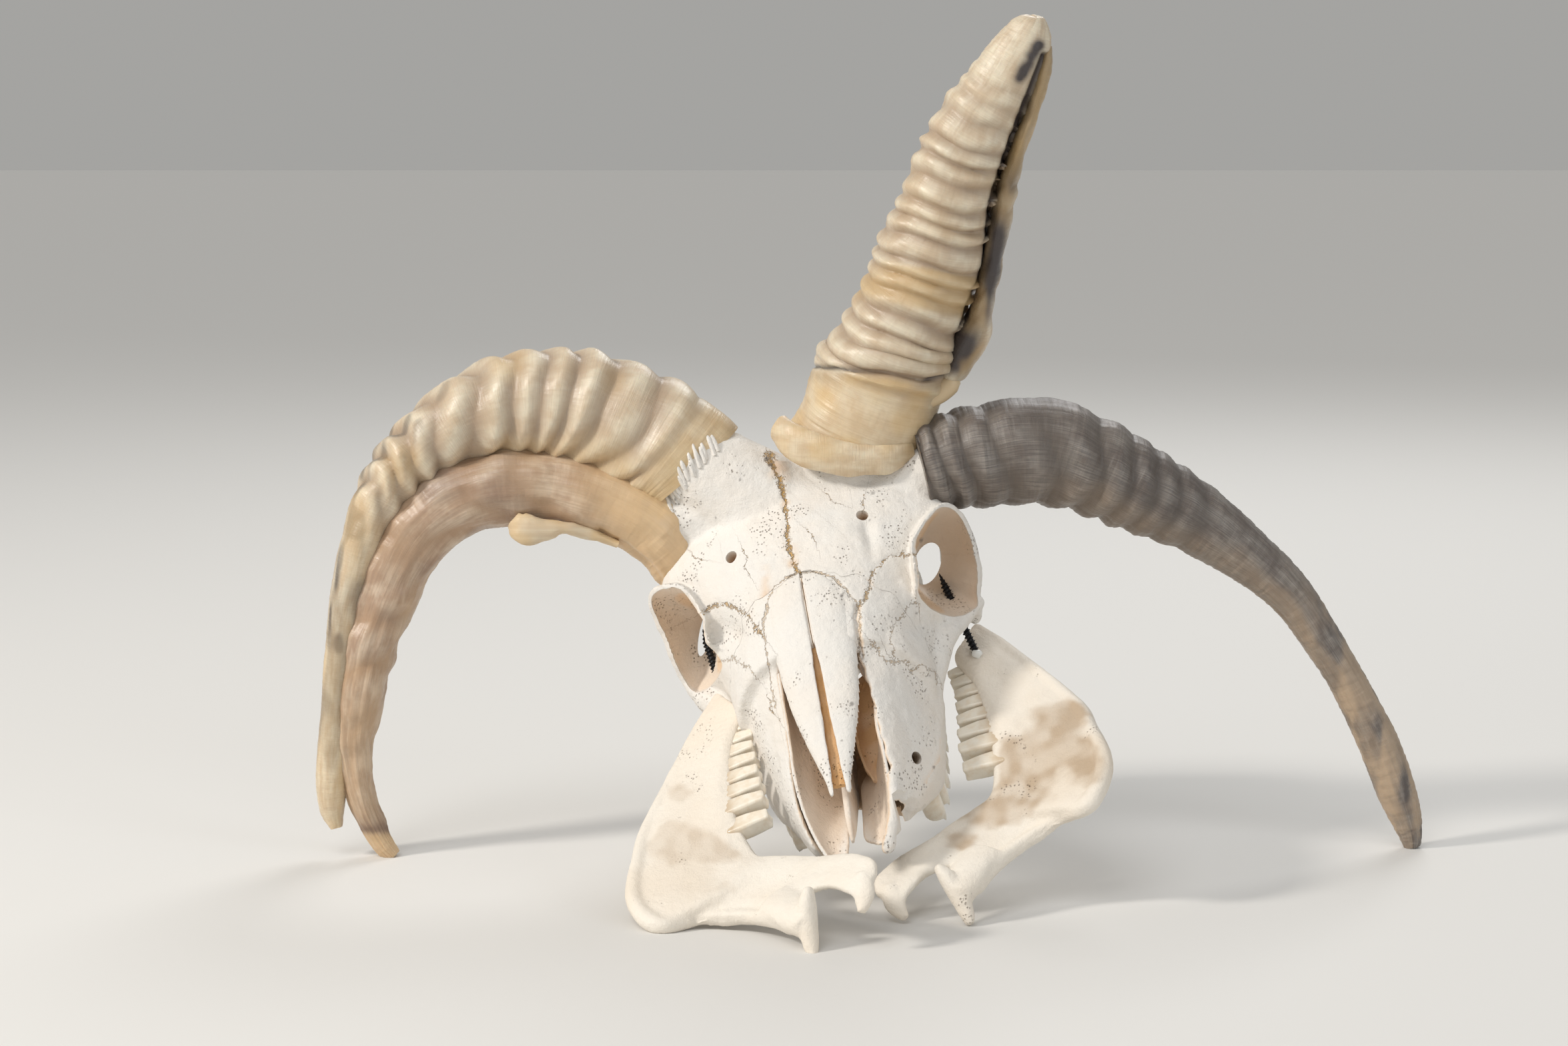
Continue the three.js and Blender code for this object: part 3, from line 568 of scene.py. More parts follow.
SKULL_SEAMS = (("seam_mid", 0.85, 2.6, 1.0), ("seam_nose", 0.42, 1.8, 0.5), ("seam_tear", 0.55, 3.6, 0.8),
               ("seam_cheek", 0.4, 4.2, 0.5), ("crack", 0.16, 2.4, 0.7))
BONE = bone_material("bleached bone", colour(0.8, 0.775, 0.735), colour(0.84, 0.64, 0.45),
                     colour(0.66, 0.36, 0.12), SKULL_SEAMS, 0.3)
JAW_BONE = bone_material("jaw bone", colour(0.86, 0.81, 0.73), colour(0.78, 0.64, 0.48),
                         colour(0.47, 0.35, 0.235), (), 0.2)


def enamel_material():
    material, w, surface = new_material("tooth enamel")
    spot = w.node("ShaderNodeTexCoord").outputs["Object"]
    streak = w.band(w.noise(spot, 300.0, 3.0), 0.4, 0.7)
    base = w.mix(w.math("MULTIPLY", streak, 0.4), colour(0.86, 0.8, 0.69), colour(0.72, 0.57, 0.39))
    base = w.mix(w.attribute("stain"), base, colour(0.45, 0.3, 0.15))
    w.feed(surface.inputs["Base Color"], base)
    surface.inputs["Roughness"].default_value = 0.32
    surface.inputs["Coat Weight"].default_value = 0.25
    bumped(w, surface, w.noise(spot, 900.0, 3.0), 0.2, 0.0003)
    return material


def horn_material(name, pale, deep, groove, dark, amber, lines, fibres, growth_share, fibre_share, rough):
    material, w, surface = new_material(name)
    along, around = w.attribute("along"), w.attribute("around")
    growth = grouped(w, GROWTH, {"Along": along, "Around": around, "Lines": lines, "Fibres": fibres})
    blotch = w.band(growth.outputs["Blotch"], 0.32, 0.68)
    base = w.mix(blotch, pale, deep)
    fine = w.band(growth.outputs["Growth"], 0.35, 0.65)
    base = w.mix(w.math("MULTIPLY", fine, growth_share), base, groove)
    thread = w.band(growth.outputs["Fibre"], 0.35, 0.68)
    base = w.mix(w.math("MULTIPLY", thread, fibre_share), base, dark)
    hollow = w.math("MULTIPLY", w.attribute("hollow"), 0.85)
    base = w.mix(hollow, base, groove)
    # The streak attribute holds the horn's own dark marks and also painted shade in grooves, folds and a
    # hole.
    base = w.mix(w.attribute("streak"), base, dark)
    base = w.mix(w.attribute("stain"), base, amber)
    w.feed(surface.inputs["Base Color"], base)
    w.feed(surface.inputs["Roughness"], w.band(growth.outputs["Growth"], 0.3, 0.7, rough, rough + 0.16))
    height = w.math("ADD", w.math("MULTIPLY", growth.outputs["Growth"], 0.7),
                    w.math("MULTIPLY", growth.outputs["Fibre"], 0.6))
    bumped(w, surface, height, 0.45, 0.0008)
    surface.inputs["Coat Weight"].default_value = 0.12
    surface.inputs["Coat Roughness"].default_value = 0.3
    surface.inputs["Subsurface Weight"].default_value = 0.12
    surface.inputs["Subsurface Radius"].default_value = (1.0, 0.6, 0.35)
    surface.inputs["Subsurface Scale"].default_value = 0.004
    return material


ENAMEL = enamel_material()
CREAM_HORN = horn_material(
    "cream horn", colour(0.76, 0.68, 0.53), colour(0.6, 0.48, 0.34), colour(0.36, 0.26, 0.18),
    colour(0.055, 0.044, 0.042), colour(0.66, 0.45, 0.2), 150.0, 10.0, 0.16, 0.05, 0.3)
BROWN_HORN = horn_material(
    "brown horn", colour(0.62, 0.5, 0.38), colour(0.42, 0.29, 0.2), colour(0.4, 0.26, 0.16),
    colour(0.2, 0.13, 0.1), colour(0.74, 0.53, 0.3), 40.0, 14.0, 0.12, 0.3, 0.3)
GREY_HORN = horn_material(
    "grey horn", colour(0.3, 0.27, 0.24), colour(0.17, 0.14, 0.12), colour(0.11, 0.09, 0.075),
    colour(0.06, 0.05, 0.048), colour(0.47, 0.35, 0.24), 110.0, 34.0, 0.12, 0.6, 0.36)


def screw_material():
    material, w, surface = new_material("black screw")
    spot = w.node("ShaderNodeTexCoord").outputs["Object"]
    wear = w.band(w.noise(spot, 900.0, 3.0), 0.5, 0.75)
    base = w.mix(wear, colour(0.012, 0.013, 0.016), colour(0.05, 0.05, 0.055))
    w.feed(surface.inputs["Base Color"], base)
    surface.inputs["Metallic"].default_value = 0.5
    surface.inputs["Roughness"].default_value = 0.4
    return material


def glue_material():
    material, _, surface = new_material("clear glue")
    surface.inputs["Base Color"].default_value = colour(0.85, 0.86, 0.84)
    surface.inputs["Roughness"].default_value = 0.18
    surface.inputs["Coat Weight"].default_value = 0.5
    return material


SCREW_STEEL = screw_material()
GLUE = glue_material()


def settle(obj, matrix, material, nodes, sharp=40):
    """Sets a finished piece in its standing place and hands it to the frame."""
    standing = carried(places(obj), matrix)
    low, high = np.array(CAD_BOX) / MM
    put(obj, np.clip(standing, low, high))
    obj.data.materials.clear()
    obj.data.materials.append(material)
    take(obj)
    bpy.ops.object.shade_smooth_by_angle(angle=math.radians(sharp))
    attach(obj, "root")
    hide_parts(*nodes)


def seen(obj, matrix):
    """Picture places of a piece's vertices, and how squarely each one faces the camera."""
    standing = carried(places(obj), matrix)
    column, row = picture_place(standing)
    facing = -(facings(obj) @ matrix[:3, :3].T) @ AHEAD
    return column, row, facing


# ------------------------------------------------------------------ horns

# Each horn and lobe is a row of sections from its foot to its tip: x, y, z, half width, half depth.

def horn_form(name, rows, rings, sides, ribs, rib_height, slant, rib_end=1.0, spacing=1.0, fade_in=0.0,
              waves=0.5, fine=0.12, fibre=0.0, under=0.45, uneven=0.25):
    """A horn through [x, y, z, half width, half depth] with raised oblique ribs.

    The ribs come in by the share fade_in of the length and end at rib_end. Slant leans them,
    spacing below 1 crowds them towards the foot, uneven shifts them, and under is their share on
    the far side. Waves, fine and fibre are the heights of the lumps on the skin.
    """
    table = spline(rows, rings)
    middle = table[:, :3]
    way = np.gradient(middle, axis=0)
    length = np.concatenate([[0], np.cumsum(np.linalg.norm(np.diff(middle, axis=0), axis=1))])
    turn = np.arange(sides) / sides * 2 * math.pi
    points, values = [], []
    for row, step, mm in zip(table, way, length):
        s = mm / length[-1]
        step = unit(step)
        depth = unit(np.array([0, 1, 0]) - step * step[1])
        across = np.cross(depth, step)
        phase = ribs * s ** spacing / rib_end + uneven * np.sin(ribs * s * 2.1)
        phase = phase + slant * np.cos(turn - 2.2) + 0.12 * np.sin(3 * turn + 9 * s)
        wave = np.abs(np.sin(math.pi * phase))
        lift = 0.5 * wave + 0.5 * wave ** 2
        fade = ramp(s, 0.6 * fade_in, fade_in + 1e-6) * (1 - ramp(s, rib_end * 0.72, rib_end))
        facing = under + (1 - under) * ramp(-np.sin(turn) + 0.6 * np.cos(turn), -0.6, 0.5)
        tall = rib_height * fade * facing * (0.75 + 0.5 * math.sin(ribs * s * 1.7 + 1) ** 2)
        swell = tall * (lift - 0.5) * (1 + 0.35 * np.sin(5 * turn + 40 * s) * np.sin(2 * turn - 23 * s))
        points.append(row[:3] + np.outer(np.cos(turn) * (row[3] + swell), across)
                      + np.outer(np.sin(turn) * (row[4] + swell), depth))
        values.append(np.stack([np.full(sides, mm), turn, (1 - lift) * fade * facing], axis=1))
    obj = loft(name, points)
    p = np.array(points).reshape(-1, 3)
    along, around, hollow = np.array(values).reshape(-1, 3).T

    def unrolled(fold, spread):
        return np.stack([along / fold, np.cos(around) * spread, np.sin(around) * spread], axis=1)

    lumps = waves * grain(p, 16, 3) + 0.3 * waves * grain(p, 7, 5)
    lumps += fine * grain(unrolled(1.1, 1.3), 1.0, 11) + fibre * grain(unrolled(30, 9), 1.0, 19)
    raised_by(obj, lumps)
    paint(obj, "along", along / 100)
    paint(obj, "around", np.abs(around - math.pi))
    paint(obj, "hollow", hollow)
    return obj


def settle_horn(obj, material, node):
    settle(obj, STANDING, material, [node], 60)


LEFT_MAIN = [
    (-40, 96, 165.8, 27.4, 17.5), (-44, 95.6, 170.2, 27.2, 19), (-50, 95, 175.4, 26.4, 20),
    (-60, 95, 181.4, 26, 20), (-84, 95, 191, 24.6, 20), (-109, 94, 194, 21.8, 19),
    (-135, 93, 187, 17.6, 18), (-157, 92, 171, 13.6, 16.5), (-173, 91, 148, 10.6, 15),
    (-182, 91, 121, 8.6, 13.5), (-187, 91, 94, 7.2, 12), (-190, 91, 66, 6.6, 10), (-192.5, 91, 38, 7, 8),
    (-193, 91, 22, 5.4, 6), (-191, 90, 13, 2.4, 3)]
LEFT_SECOND = [
    (-36, 96, 124, 13.4, 13), (-44, 95, 130.4, 14.6, 14), (-52, 94, 138.4, 15.2, 15),
    (-63, 92, 147.6, 15.4, 16), (-88, 92, 157.4, 16.6, 17), (-113, 91, 160, 17, 16),
    (-136, 90, 155, 16.2, 15), (-155, 90, 139.4, 15.4, 14), (-167, 90, 117, 13.8, 13),
    (-176, 90, 92, 12, 12), (-181, 90, 69, 10.4, 10.5), (-183, 91, 45, 8, 8.5), (-179, 92, 22, 5.8, 6.5),
    (-171.5, 93, 6, 4, 5), (-167.5, 93, 0.4, 2.8, 3.4)]
LEFT_FLAP = [
    (-70, 82, 136, 1.4, 2.4), (-82, 80, 141, 2.4, 3), (-92, 78, 143.4, 3, 3.4),
    (-100, 77, 142.6, 4.6, 3.6), (-106, 76.4, 142.4, 6, 3.6), (-110.6, 77, 144, 6.2, 3.2),
    (-113, 78.4, 146, 4.4, 2.4)]
TOP_MAIN = [
    (31.5, 95, 178, 30, 25), (33.4, 93, 185, 28.4, 24), (37, 90, 195, 28.6, 24), (43, 86, 211, 27, 23),
    (48, 81, 226, 23, 21.5), (55, 76, 241, 22.4, 20.5), (61, 71, 258, 22.6, 19.5), (66, 65, 276, 19.8, 18),
    (71, 59, 293, 18.8, 16.5), (78, 54, 310, 17.2, 14.5), (87, 50, 325, 14.8, 12.2),
    (95, 47, 340, 12.2, 10), (99, 45.4, 349, 8.6, 7.4), (100.8, 44.8, 353, 4.8, 4.4),
    (101.2, 44.6, 354.4, 1.6, 1.6)]
TOP_SECOND = [
    (67, 88, 204, 4, 6), (72, 84, 212, 6.4, 9), (79, 78, 226, 6.8, 9.5), (82.6, 74, 238, 4.6, 9),
    (85.4, 71, 252, 4.6, 9), (88, 66, 269, 4.4, 8.5), (91, 59, 287, 4, 8), (96, 53, 304, 3.4, 7),
    (101, 49, 319, 3, 6), (105, 47, 333, 2.4, 4.5), (106, 46, 342, 1.2, 2.5)]
RIGHT_HORN = [
    (57, 84, 168, 18.5, 18), (70, 85, 171, 20, 19), (84, 86, 173, 21.4, 20), (108, 88, 175, 22.4, 20.5),
    (132, 91, 167, 20.2, 19), (154, 94, 156, 17.8, 17), (176, 97, 144, 14.8, 14.5),
    (197, 100, 129, 11.9, 12), (216, 102, 112, 9.6, 10), (231, 104, 91, 8.2, 9), (244, 106, 70, 7.8, 8.5),
    (256, 107, 47, 8.6, 8), (265.5, 108, 23, 8.2, 7.2), (271, 109, 7, 5.4, 5), (272, 109, 0.4, 3.4, 3.4)]


HORN_FOOT = (-40, 165.8)  # x and z of the middle of the left horn's torn edge
# Lines and spots on the horns, as picture places; the spots with their half widths and heights.
FOOT_CRACK = [(970, 818), (978, 832), (990, 841), (1001, 860)]
FOOT_FOLD = [(900, 798), (940, 820), (972, 846), (992, 872)]
FOOT_HOLE, FOOT_LIP = (996, 804, 7, 5), (1100, 648, 14, 14)
STUB_BAND = 1243  # row of the dark ring above the lower lobe's pale stub
TIP_PATCH = [(1557, 68), (1530, 116)]


# Picture columns or rows over which each stain of the left horn comes in, or ends.
OUTER_COLUMNS, OUTER_END_ROWS = (800, 540), (900, 1050)
OUTER_WIDTH = 60
HONEY_ROWS, OLD_ROWS = (560, 700), (820, 1020)
DUSK_ROWS, DUSK_END_ROWS = (760, 900), (1060, 1170)
LEFT_OUTER_EDGE = [(860, 517), (720, 545), (650, 590), (590, 650), (545, 720), (515, 800), (497, 880),
                   (493, 960), (497, 1040), (475, 1130), (468, 1190)]


def between(value, start, end):
    """Comes in over the first pair of numbers and goes out over the second."""
    return ramp(value, *start) * (1 - ramp(value, *end))


def left_upper_lobe():
    horn = horn_form("horn_left_upper_lobe", LEFT_MAIN, 420, 110, 13, 3.0, -0.9, rib_end=0.62,
                     spacing=0.95, fade_in=0.062)
    p = places(horn)
    column, row, _ = seen(horn, STANDING)
    outer = ramp(column, *OUTER_COLUMNS) * ramp(from_path(column, row, LEFT_OUTER_EDGE), OUTER_WIDTH, 0)
    outer = outer * (1 - 0.6 * ramp(row, *OUTER_END_ROWS))
    dashes = 0.6 * outer * ramp(grain(p * [1, 1, 0.4], 5, 4), -0.1, 0.5)
    root = (p[:, 0] - HORN_FOOT[0]) * -0.8 + (p[:, 2] - HORN_FOOT[1]) * 0.6
    honey = (1 - ramp(root + 5 * grain(p, 9, 12), 4, 26)) * ramp(row, *HONEY_ROWS)
    strand = ramp(grain(p * [1, 1, 0.25], 5, 21), -0.5, 0.4)
    old = ramp(row, *OLD_ROWS) * (0.2 + 0.3 * (1 - strand))
    dusk = 0.4 * strand * between(row, DUSK_ROWS, DUSK_END_ROWS)
    share_out(horn, "stain", 0.35 * ramp(grain(p, 22, 6), 0.1, 0.8) + 0.6 * honey + old)
    share_out(horn, "streak", dashes + dusk + 0.6 * patch(column, row, *FOOT_LIP))
    settle_horn(horn, CREAM_HORN, "horn_left")


def left_lower_lobe():
    horn = horn_form("horn_left_lower_lobe", LEFT_SECOND, 380, 90, 9, 1.1, 0.6, waves=1.2, fibre=0.5)
    p = places(horn)
    column, row, facing = seen(horn, STANDING)
    front = facing > 0
    crack = stripe(from_path(column, row, FOOT_CRACK), 4.4) * front
    # Painted shade: the hole and the fold are darkened where shade falls in them; the crack, the mottle and
    # the ring above the stub are the horn's own dark marks.
    hole_shade = patch(column, row, *FOOT_HOLE) * front
    crease = stripe(from_path(column, row, FOOT_FOLD), 5) * front
    raised_by(horn, 0.8 * grain(p * [1, 1, 1.6], 11, 18) - 1.6 * crease)
    dark = 0.45 * ramp(grain(p * [0.5, 1, 0.5], 9, 14), 0.05, 0.6) + 0.5 * crease
    dark = dark + 0.7 * stripe(row + 5 * grain(p, 5, 22) - STUB_BAND, 9)
    share_out(horn, "streak", np.maximum(dark, np.maximum(crack, hole_shade)))
    honey = 0.7 * ramp(p[:, 0], -100, -60) + 0.2 * ramp(grain(p, 26, 16), -0.4, 0.7)
    stub = ramp(row, STUB_BAND, STUB_BAND + 14)
    share_out(horn, "stain", honey + 0.6 * stub)
    settle_horn(horn, BROWN_HORN, "horn_left")


def left_flap():
    flap = tube("horn_left_flap", LEFT_FLAP, 30, 20)
    p = places(flap)
    roughen(flap, (0.7, 4, 3), (0.3, 1.6, 5))
    blank(flap, "around", "hollow", "streak")
    paint(flap, "along", p[:, 2] / 30)
    paint(flap, "stain", 0.15 + 0.4 * ramp(grain(p, 6, 8), -0.3, 0.5))
    settle_horn(flap, CREAM_HORN, "horn_left")


TOP_BAND = ((1215, 1260, 1325, 1385, 1440), (548, 553, 558, 570, 560))  # columns, then rows
TOP_GROOVE = [(1568, 85), (1535, 170), (1510, 240), (1490, 302), (1480, 401), (1457, 458), (1433, 533)]


TOP_COLLAR = [(-2, 83, 185, 6.4, 4.4), (4, 75, 180, 8, 5), (16, 70, 175.4, 7.6, 3.6),
              (30, 69.4, 172.8, 7, 3.2), (43, 71.6, 173.2, 6.4, 3), (53, 78, 177, 5.2, 2.6)]
TOP_KNOB = [(52, 80, 190, 2.4, 2), (59, 79, 196, 3.6, 3), (65, 79, 200, 4.4, 3.2), (70, 80, 203.6, 4, 3),
            (72.6, 81, 205, 2, 1.6)]
# Picture rows over which the stains of the top horn come in, or end.
MIDDLE_ROWS, MIDDLE_END_ROWS = (300, 400), (560, 640)
BAND_ROWS, BAND_END_ROWS = (180, 380), (620, 700)
LOBE_STREAK_END, LOBE_STAIN_END = (190, 290), (200, 330)


def top_main():
    horn = horn_form("horn_top_main", TOP_MAIN, 460, 110, 22, 2.5, 0.3, rib_end=0.93, spacing=0.95,
                     fade_in=0.2, under=0.85, uneven=0.14, fine=0.16)
    p = places(horn)
    column, row, facing = seen(horn, STANDING)
    front = facing > 0
    near = stripe(from_path(column, row, TOP_GROOVE), 7) * front
    drop = row - np.interp(column, *TOP_BAND)  # pixels below the dark growth line above the smooth foot
    line = stripe(drop, 3.2)
    swell = 1.9 * stripe(drop + 26, 20) - 1.5 * line - 1.2 * stripe(drop - 45, 26)
    raised_by(horn, swell - 2.2 * near)
    band_place = np.stack([p[:, 2] + 0.2 * p[:, 0], p[:, 0] * 0.15, p[:, 1] * 0.1], 1)
    bands = ramp(grain(band_place, 9, 8), 0.0, 0.6)
    middle = between(row, MIDDLE_ROWS, MIDDLE_END_ROWS)
    tip_patch = stripe(from_path(column, row, TIP_PATCH), 9) * (0.7 + 0.3 * grain(p, 3, 13)) * front
    broken = line * ramp(grain(p * [0.4, 1, 1], 7, 15), -0.35, 0.3) * front
    shade = 0.25 * stripe(drop - 14, 9) * front
    # Painted shade: the groove beside the side lobe (near) and the band below the growth line (shade) are
    # darkened where shade falls; the bands, tip patch and broken growth line are the horn's own marks.
    share_out(horn, "streak", 1.1 * near + 0.22 * bands * middle + 1.7 * tip_patch + 0.8 * broken + shade)
    foot = ramp(drop, 0, 14) * (0.26 + 0.34 * ramp(grain(p, 10, 33), -0.3, 0.5))
    paint(horn, "stain", np.maximum(foot, 0.5 * bands * between(row, BAND_ROWS, BAND_END_ROWS)))
    settle_horn(horn, CREAM_HORN, "horn_top")


def top_side_lobe():
    horn = horn_form("horn_top_side_lobe", TOP_SECOND, 200, 50, 10, 0.8, 0.3, waves=0.8)
    column, row, _ = seen(horn, STANDING)
    beside = np.abs(from_path(column, row, TOP_GROOVE))
    mottle = ramp(grain(places(horn) * [1, 1, 0.4], 6, 4), -0.5, 0.3)
    # Painted shade: the lobe darkens towards the groove beside the main horn; the mottle is the horn's own
    # marking.
    dark = (1 - ramp(beside, 16, 40)) * (0.7 + 0.3 * mottle)
    paint(horn, "streak", np.maximum(dark, 0.75 * mottle * (1 - ramp(row, *LOBE_STREAK_END))))
    paint(horn, "stain", 0.6 * mottle * (1 - ramp(row, *LOBE_STAIN_END)) + 0.35 * (1 - mottle))
    settle_horn(horn, CREAM_HORN, "horn_top")


def top_collar():
    collar = tube("horn_top_collar", TOP_COLLAR, 70, 28)
    p = places(collar)
    roughen(collar, (0.7, 9, 3), (0.2, 2.4, 5))
    soften(collar, 3)
    paint(collar, "along", p[:, 0] / 90)
    paint(collar, "around", p[:, 2] / 12)
    blank(collar, "hollow", "streak")
    paint(collar, "stain", 0.2 + 0.34 * ramp(grain(p, 9, 9), -0.2, 0.6))
    settle_horn(collar, CREAM_HORN, "horn_top")


def top_knob():
    knob = tube("horn_top_knob", TOP_KNOB, 40, 24)
    blank(knob, "along", "around", "hollow", "streak")
    paint(knob, "stain", np.full(len(knob.data.vertices), 0.45))
    settle_horn(knob, CREAM_HORN, "horn_top")


def right_horn():
    horn = horn_form("horn_right_whole", RIGHT_HORN, 460, 120, 9, 1.9, 0.3, rib_end=0.48, spacing=0.85,
                     waves=0.35, fine=0.26, fibre=0.3, under=0.7, uneven=0.45)
    p = places(horn)
    x, z = p[:, 0], p[:, 2]
    table = spline(RIGHT_HORN, 200)
    middle, half = [np.interp(x, table[:, 0], table[:, k]) for k in (2, 3)]
    below = (middle - z) / half
    amber = stripe(x - 148, 40) * ramp(below + 0.25 * grain(p, 14, 7), 0.0, 0.8)
    tip = ramp(x, 205, 255)
    mottle = ramp(grain(p * [1, 1, 0.3], 7, 2) + 0.5 * grain(p * [1, 1, 0.4], 3, 6), -0.6, 0.4)
    late = ramp(x, 150, 215) * ramp(below + 0.4 * grain(p * [0.6, 1, 0.6], 10, 17), -0.1, 0.7)
    blots = ramp(grain(p * [1, 1, 0.5], 4, 27), 0.25, 0.6)
    share_out(horn, "stain", 0.3 * amber + 0.4 * late + 0.75 * tip * mottle)
    share_out(horn, "streak", 0.6 * tip * blots + 0.25 * ramp(grain(p, 30, 9), 0, 0.6))
    settle_horn(horn, GREY_HORN, "horn_right")


for make in (left_upper_lobe, left_lower_lobe, left_flap, top_main, top_side_lobe, top_collar, top_knob,
             right_horn):
    make()


# ------------------------------------------------------------------ skull

# Sections of the brow and brain case from front to back: y, half width, top, widest height, bottom.
ROOF = [
    (-28, 41, -12, -50, -76), (-8, 44, -3, -44, -76), (4, 49, 1, -42, -72), (14, 58, 3, -38, -68),
    (24, 63, 5, -33, -64), (33, 66, 7, -25, -62), (42, 64, 8, -20, -60), (51, 52, 9, -19, -62),
    (61, 42, 11, -24, -68), (76, 39, 6, -33, -76), (90, 40, -9, -44, -80), (101, 39, -27, -56, -82),
    (111, 30, -46, -66, -84), (117, 12, -56, -66, -76)]
# Sections of the skull's base and of the nose passage: y, half width, top, bottom.
FLOOR = [
    (-10, 20, -50, -77), (6, 19, -50, -80), (18, 15, -50, -86), (34, 13, -50, -88), (52, 14, -50, -88),
    (70, 19, -55, -90), (88, 22, -60, -92), (104, 24, -66, -94), (112, 20, -70, -92)]
PASSAGE = [(-60, 14, -24, -68), (-14, 15, -13, -73), (4, 14, -16, -79), (18, 12, -34, -92),
           (34, 10, -62, -100), (42, 9, -80, -108)]
# Bone cores inside the horns, in the horns' millimetres: both ends and the half widths there.
CORES = [
    ((-6, 97, 146), (-46, 96, 175), 25, 18), ((-10, 96, 138), (-54, 92, 146), 17, 10),
    ((25, 99, 148), (37, 94, 190), 26, 19), ((36, 90, 152), (74, 87, 171), 18, 15)]
# Rims of the eye sockets.
RIGHT_RIM = [
    (44, -2, -21), (46, -2, -15), (47.6, 2, -6), (48.4, 8, -2.8), (51.8, 17, -3), (55.6, 25, -4),
    (60.5, 33, -7), (65.4, 36, -14), (67, 37, -26.6), (66.8, 34, -38), (66, 31, -43.8), (63.9, 27, -48.6),
    (62.4, 21, -52.6), (56, 13, -49), (50, 6, -41), (45.4, 0, -30)]
LEFT_RIM = [
    (-46.4, -2, -19), (-46, 0, -13.8), (-45, 3, -9.8), (-46.6, 6, -8.2), (-49.4, 13, -5.4),
    (-53, 19, -3), (-60, 24, -5), (-64.5, 28, -8.4), (-67.2, 31, -12.4), (-69, 32, -17.6),
    (-68.6, 31, -26.7), (-67.6, 29, -34), (-67.2, 26, -42), (-66, 23, -52), (-61.6, 18, -57),
    (-52, 9.6, -48.6), (-44, 2, -35), (-44.4, -1, -25.6)]


ROOF_SIDES = 96
SOCKET_SIDES = 120


def roof_body():
    turn = np.arange(ROOF_SIDES) / ROOF_SIDES * 2 * math.pi
    c, s = np.cos(turn), np.sin(turn)
    rings = []
    for y, half, top, widest, bottom in spline(ROOF, 110):
        x = half * np.sign(c) * np.abs(c) ** 0.92
        rise = np.where(s > 0, top - widest, widest - bottom)
        rings.append(np.stack([x, np.full(ROOF_SIDES, y), widest + rise * s], axis=1))
    return loft("roof", rings)


def upright_sections(name, rows, count, square):
    return loft(name, [oval(np.array([0, y, (top + bottom) / 2]), np.array([1, 0, 0]), half,
                            np.array([0, 0, 1]), (top - bottom) / 2, 48, square)
                       for y, half, top, bottom in spline(rows, count)])


# The camera's own directions, as the skull's frame has them.
RIGHTWARD, SKYWARD, INWARD = [SKULL[:3, :3].T @ v for v in (np.array([1.0, 0, 0]), UPWARD, AHEAD)]
# Rim, middle of the opening at the back, its half width and half height, and its lean in degrees.
SOCKETS = {1: (RIGHT_RIM, (48.3, 30, -31.6), 5.6, 9.2, 18),
           -1: (LEFT_RIM, (-51.4, 30, -36.4), 2.6, 11.2, 13)}
SOCKET_DEPTHS = {1: 58, -1: 64}
SOCKET_WALL = 2.1


def lying(points):
    """Places in the skull's frame, as far right, up and inwards from the camera."""
    return np.asarray(points, float) @ np.stack([RIGHTWARD, SKYWARD, INWARD], axis=1)


def raised(points):
    return np.asarray(points, float) @ np.stack([RIGHTWARD, SKYWARD, INWARD])


def round_table(curve, middle, turns):
    """Reach and depth of a closed curve, for each turn about its middle."""
    turn = np.arctan2(curve[:, 1] - middle[1], curve[:, 0] - middle[0])
    reach = np.hypot(curve[:, 0] - middle[0], curve[:, 1] - middle[1])
    order = np.argsort(turn)
    return (np.interp(turns, turn[order], reach[order], period=2 * math.pi),
            np.interp(turns, turn[order], curve[order, 2], period=2 * math.pi))


def closed_spline(points, count):
    points = [tuple(p) for p in points]
    rows = spline(points[-2:] + points + points[:3], (len(points) + 4) * count + 1)
    return rows[2 * count:(2 + len(points)) * count]


def socket_shape(side, turns):
    """Middles, reaches and depths of an eye socket's rim and of the opening at its back."""
    rim, back, half_across, half_up, lean = SOCKETS[side]
    curve = lying(closed_spline(rim, 12))
    middle = (curve[:, :2].max(axis=0) + curve[:, :2].min(axis=0)) / 2
    reach, depth = round_table(curve, middle, turns)
    lean = math.radians(lean)
    c, s = np.cos(turns + lean), np.sin(turns + lean)
    hole_reach = 1 / np.hypot(c / half_across, s / half_up)
    hole_middle = lying([back])[0, :2]
    return middle, reach, depth, hole_middle, hole_reach


def socket_ring(side, share, ragged=0.0):
    """A ring of the socket's wall: share 0 on the rim, 1 round the opening at the back."""
    turns = np.arange(SOCKET_SIDES) / SOCKET_SIDES * 2 * math.pi
    middle, reach, depth, hole_middle, hole_reach = socket_shape(side, turns)
    f = share ** 1.3
    g = 1 - (1 - share) ** 1.6
    centre = middle + (hole_middle - middle) * f
    radius = reach + (hole_reach - reach) * f
    depths = depth + (SOCKET_DEPTHS[side] - depth) * g
    c, s = np.cos(turns), np.sin(turns)
    radius = radius + ragged * grain(np.stack([c * 11, s * 11, turns * 0], 1), 1.0, side + 3)
    return np.stack([centre[0] + radius * c, centre[1] + radius * s, depths], axis=1)


def socket_cup(side):
    """The solid that the socket is cut into: its wall stands round the hollow."""
    rings = [socket_ring(side, f) for f in np.linspace(0, 1, 14)]
    cup = loft("cup", [raised(ring) for ring in rings])
    p, n = places(cup), facings(cup)
    rim = np.arange(len(p)) < SOCKET_SIDES
    flat = n[rim] - np.outer(n[rim] @ INWARD, INWARD)
    n[rim] = flat / np.linalg.norm(flat, axis=1)[:, None]
    put(cup, p + n * SOCKET_WALL)
    return cup


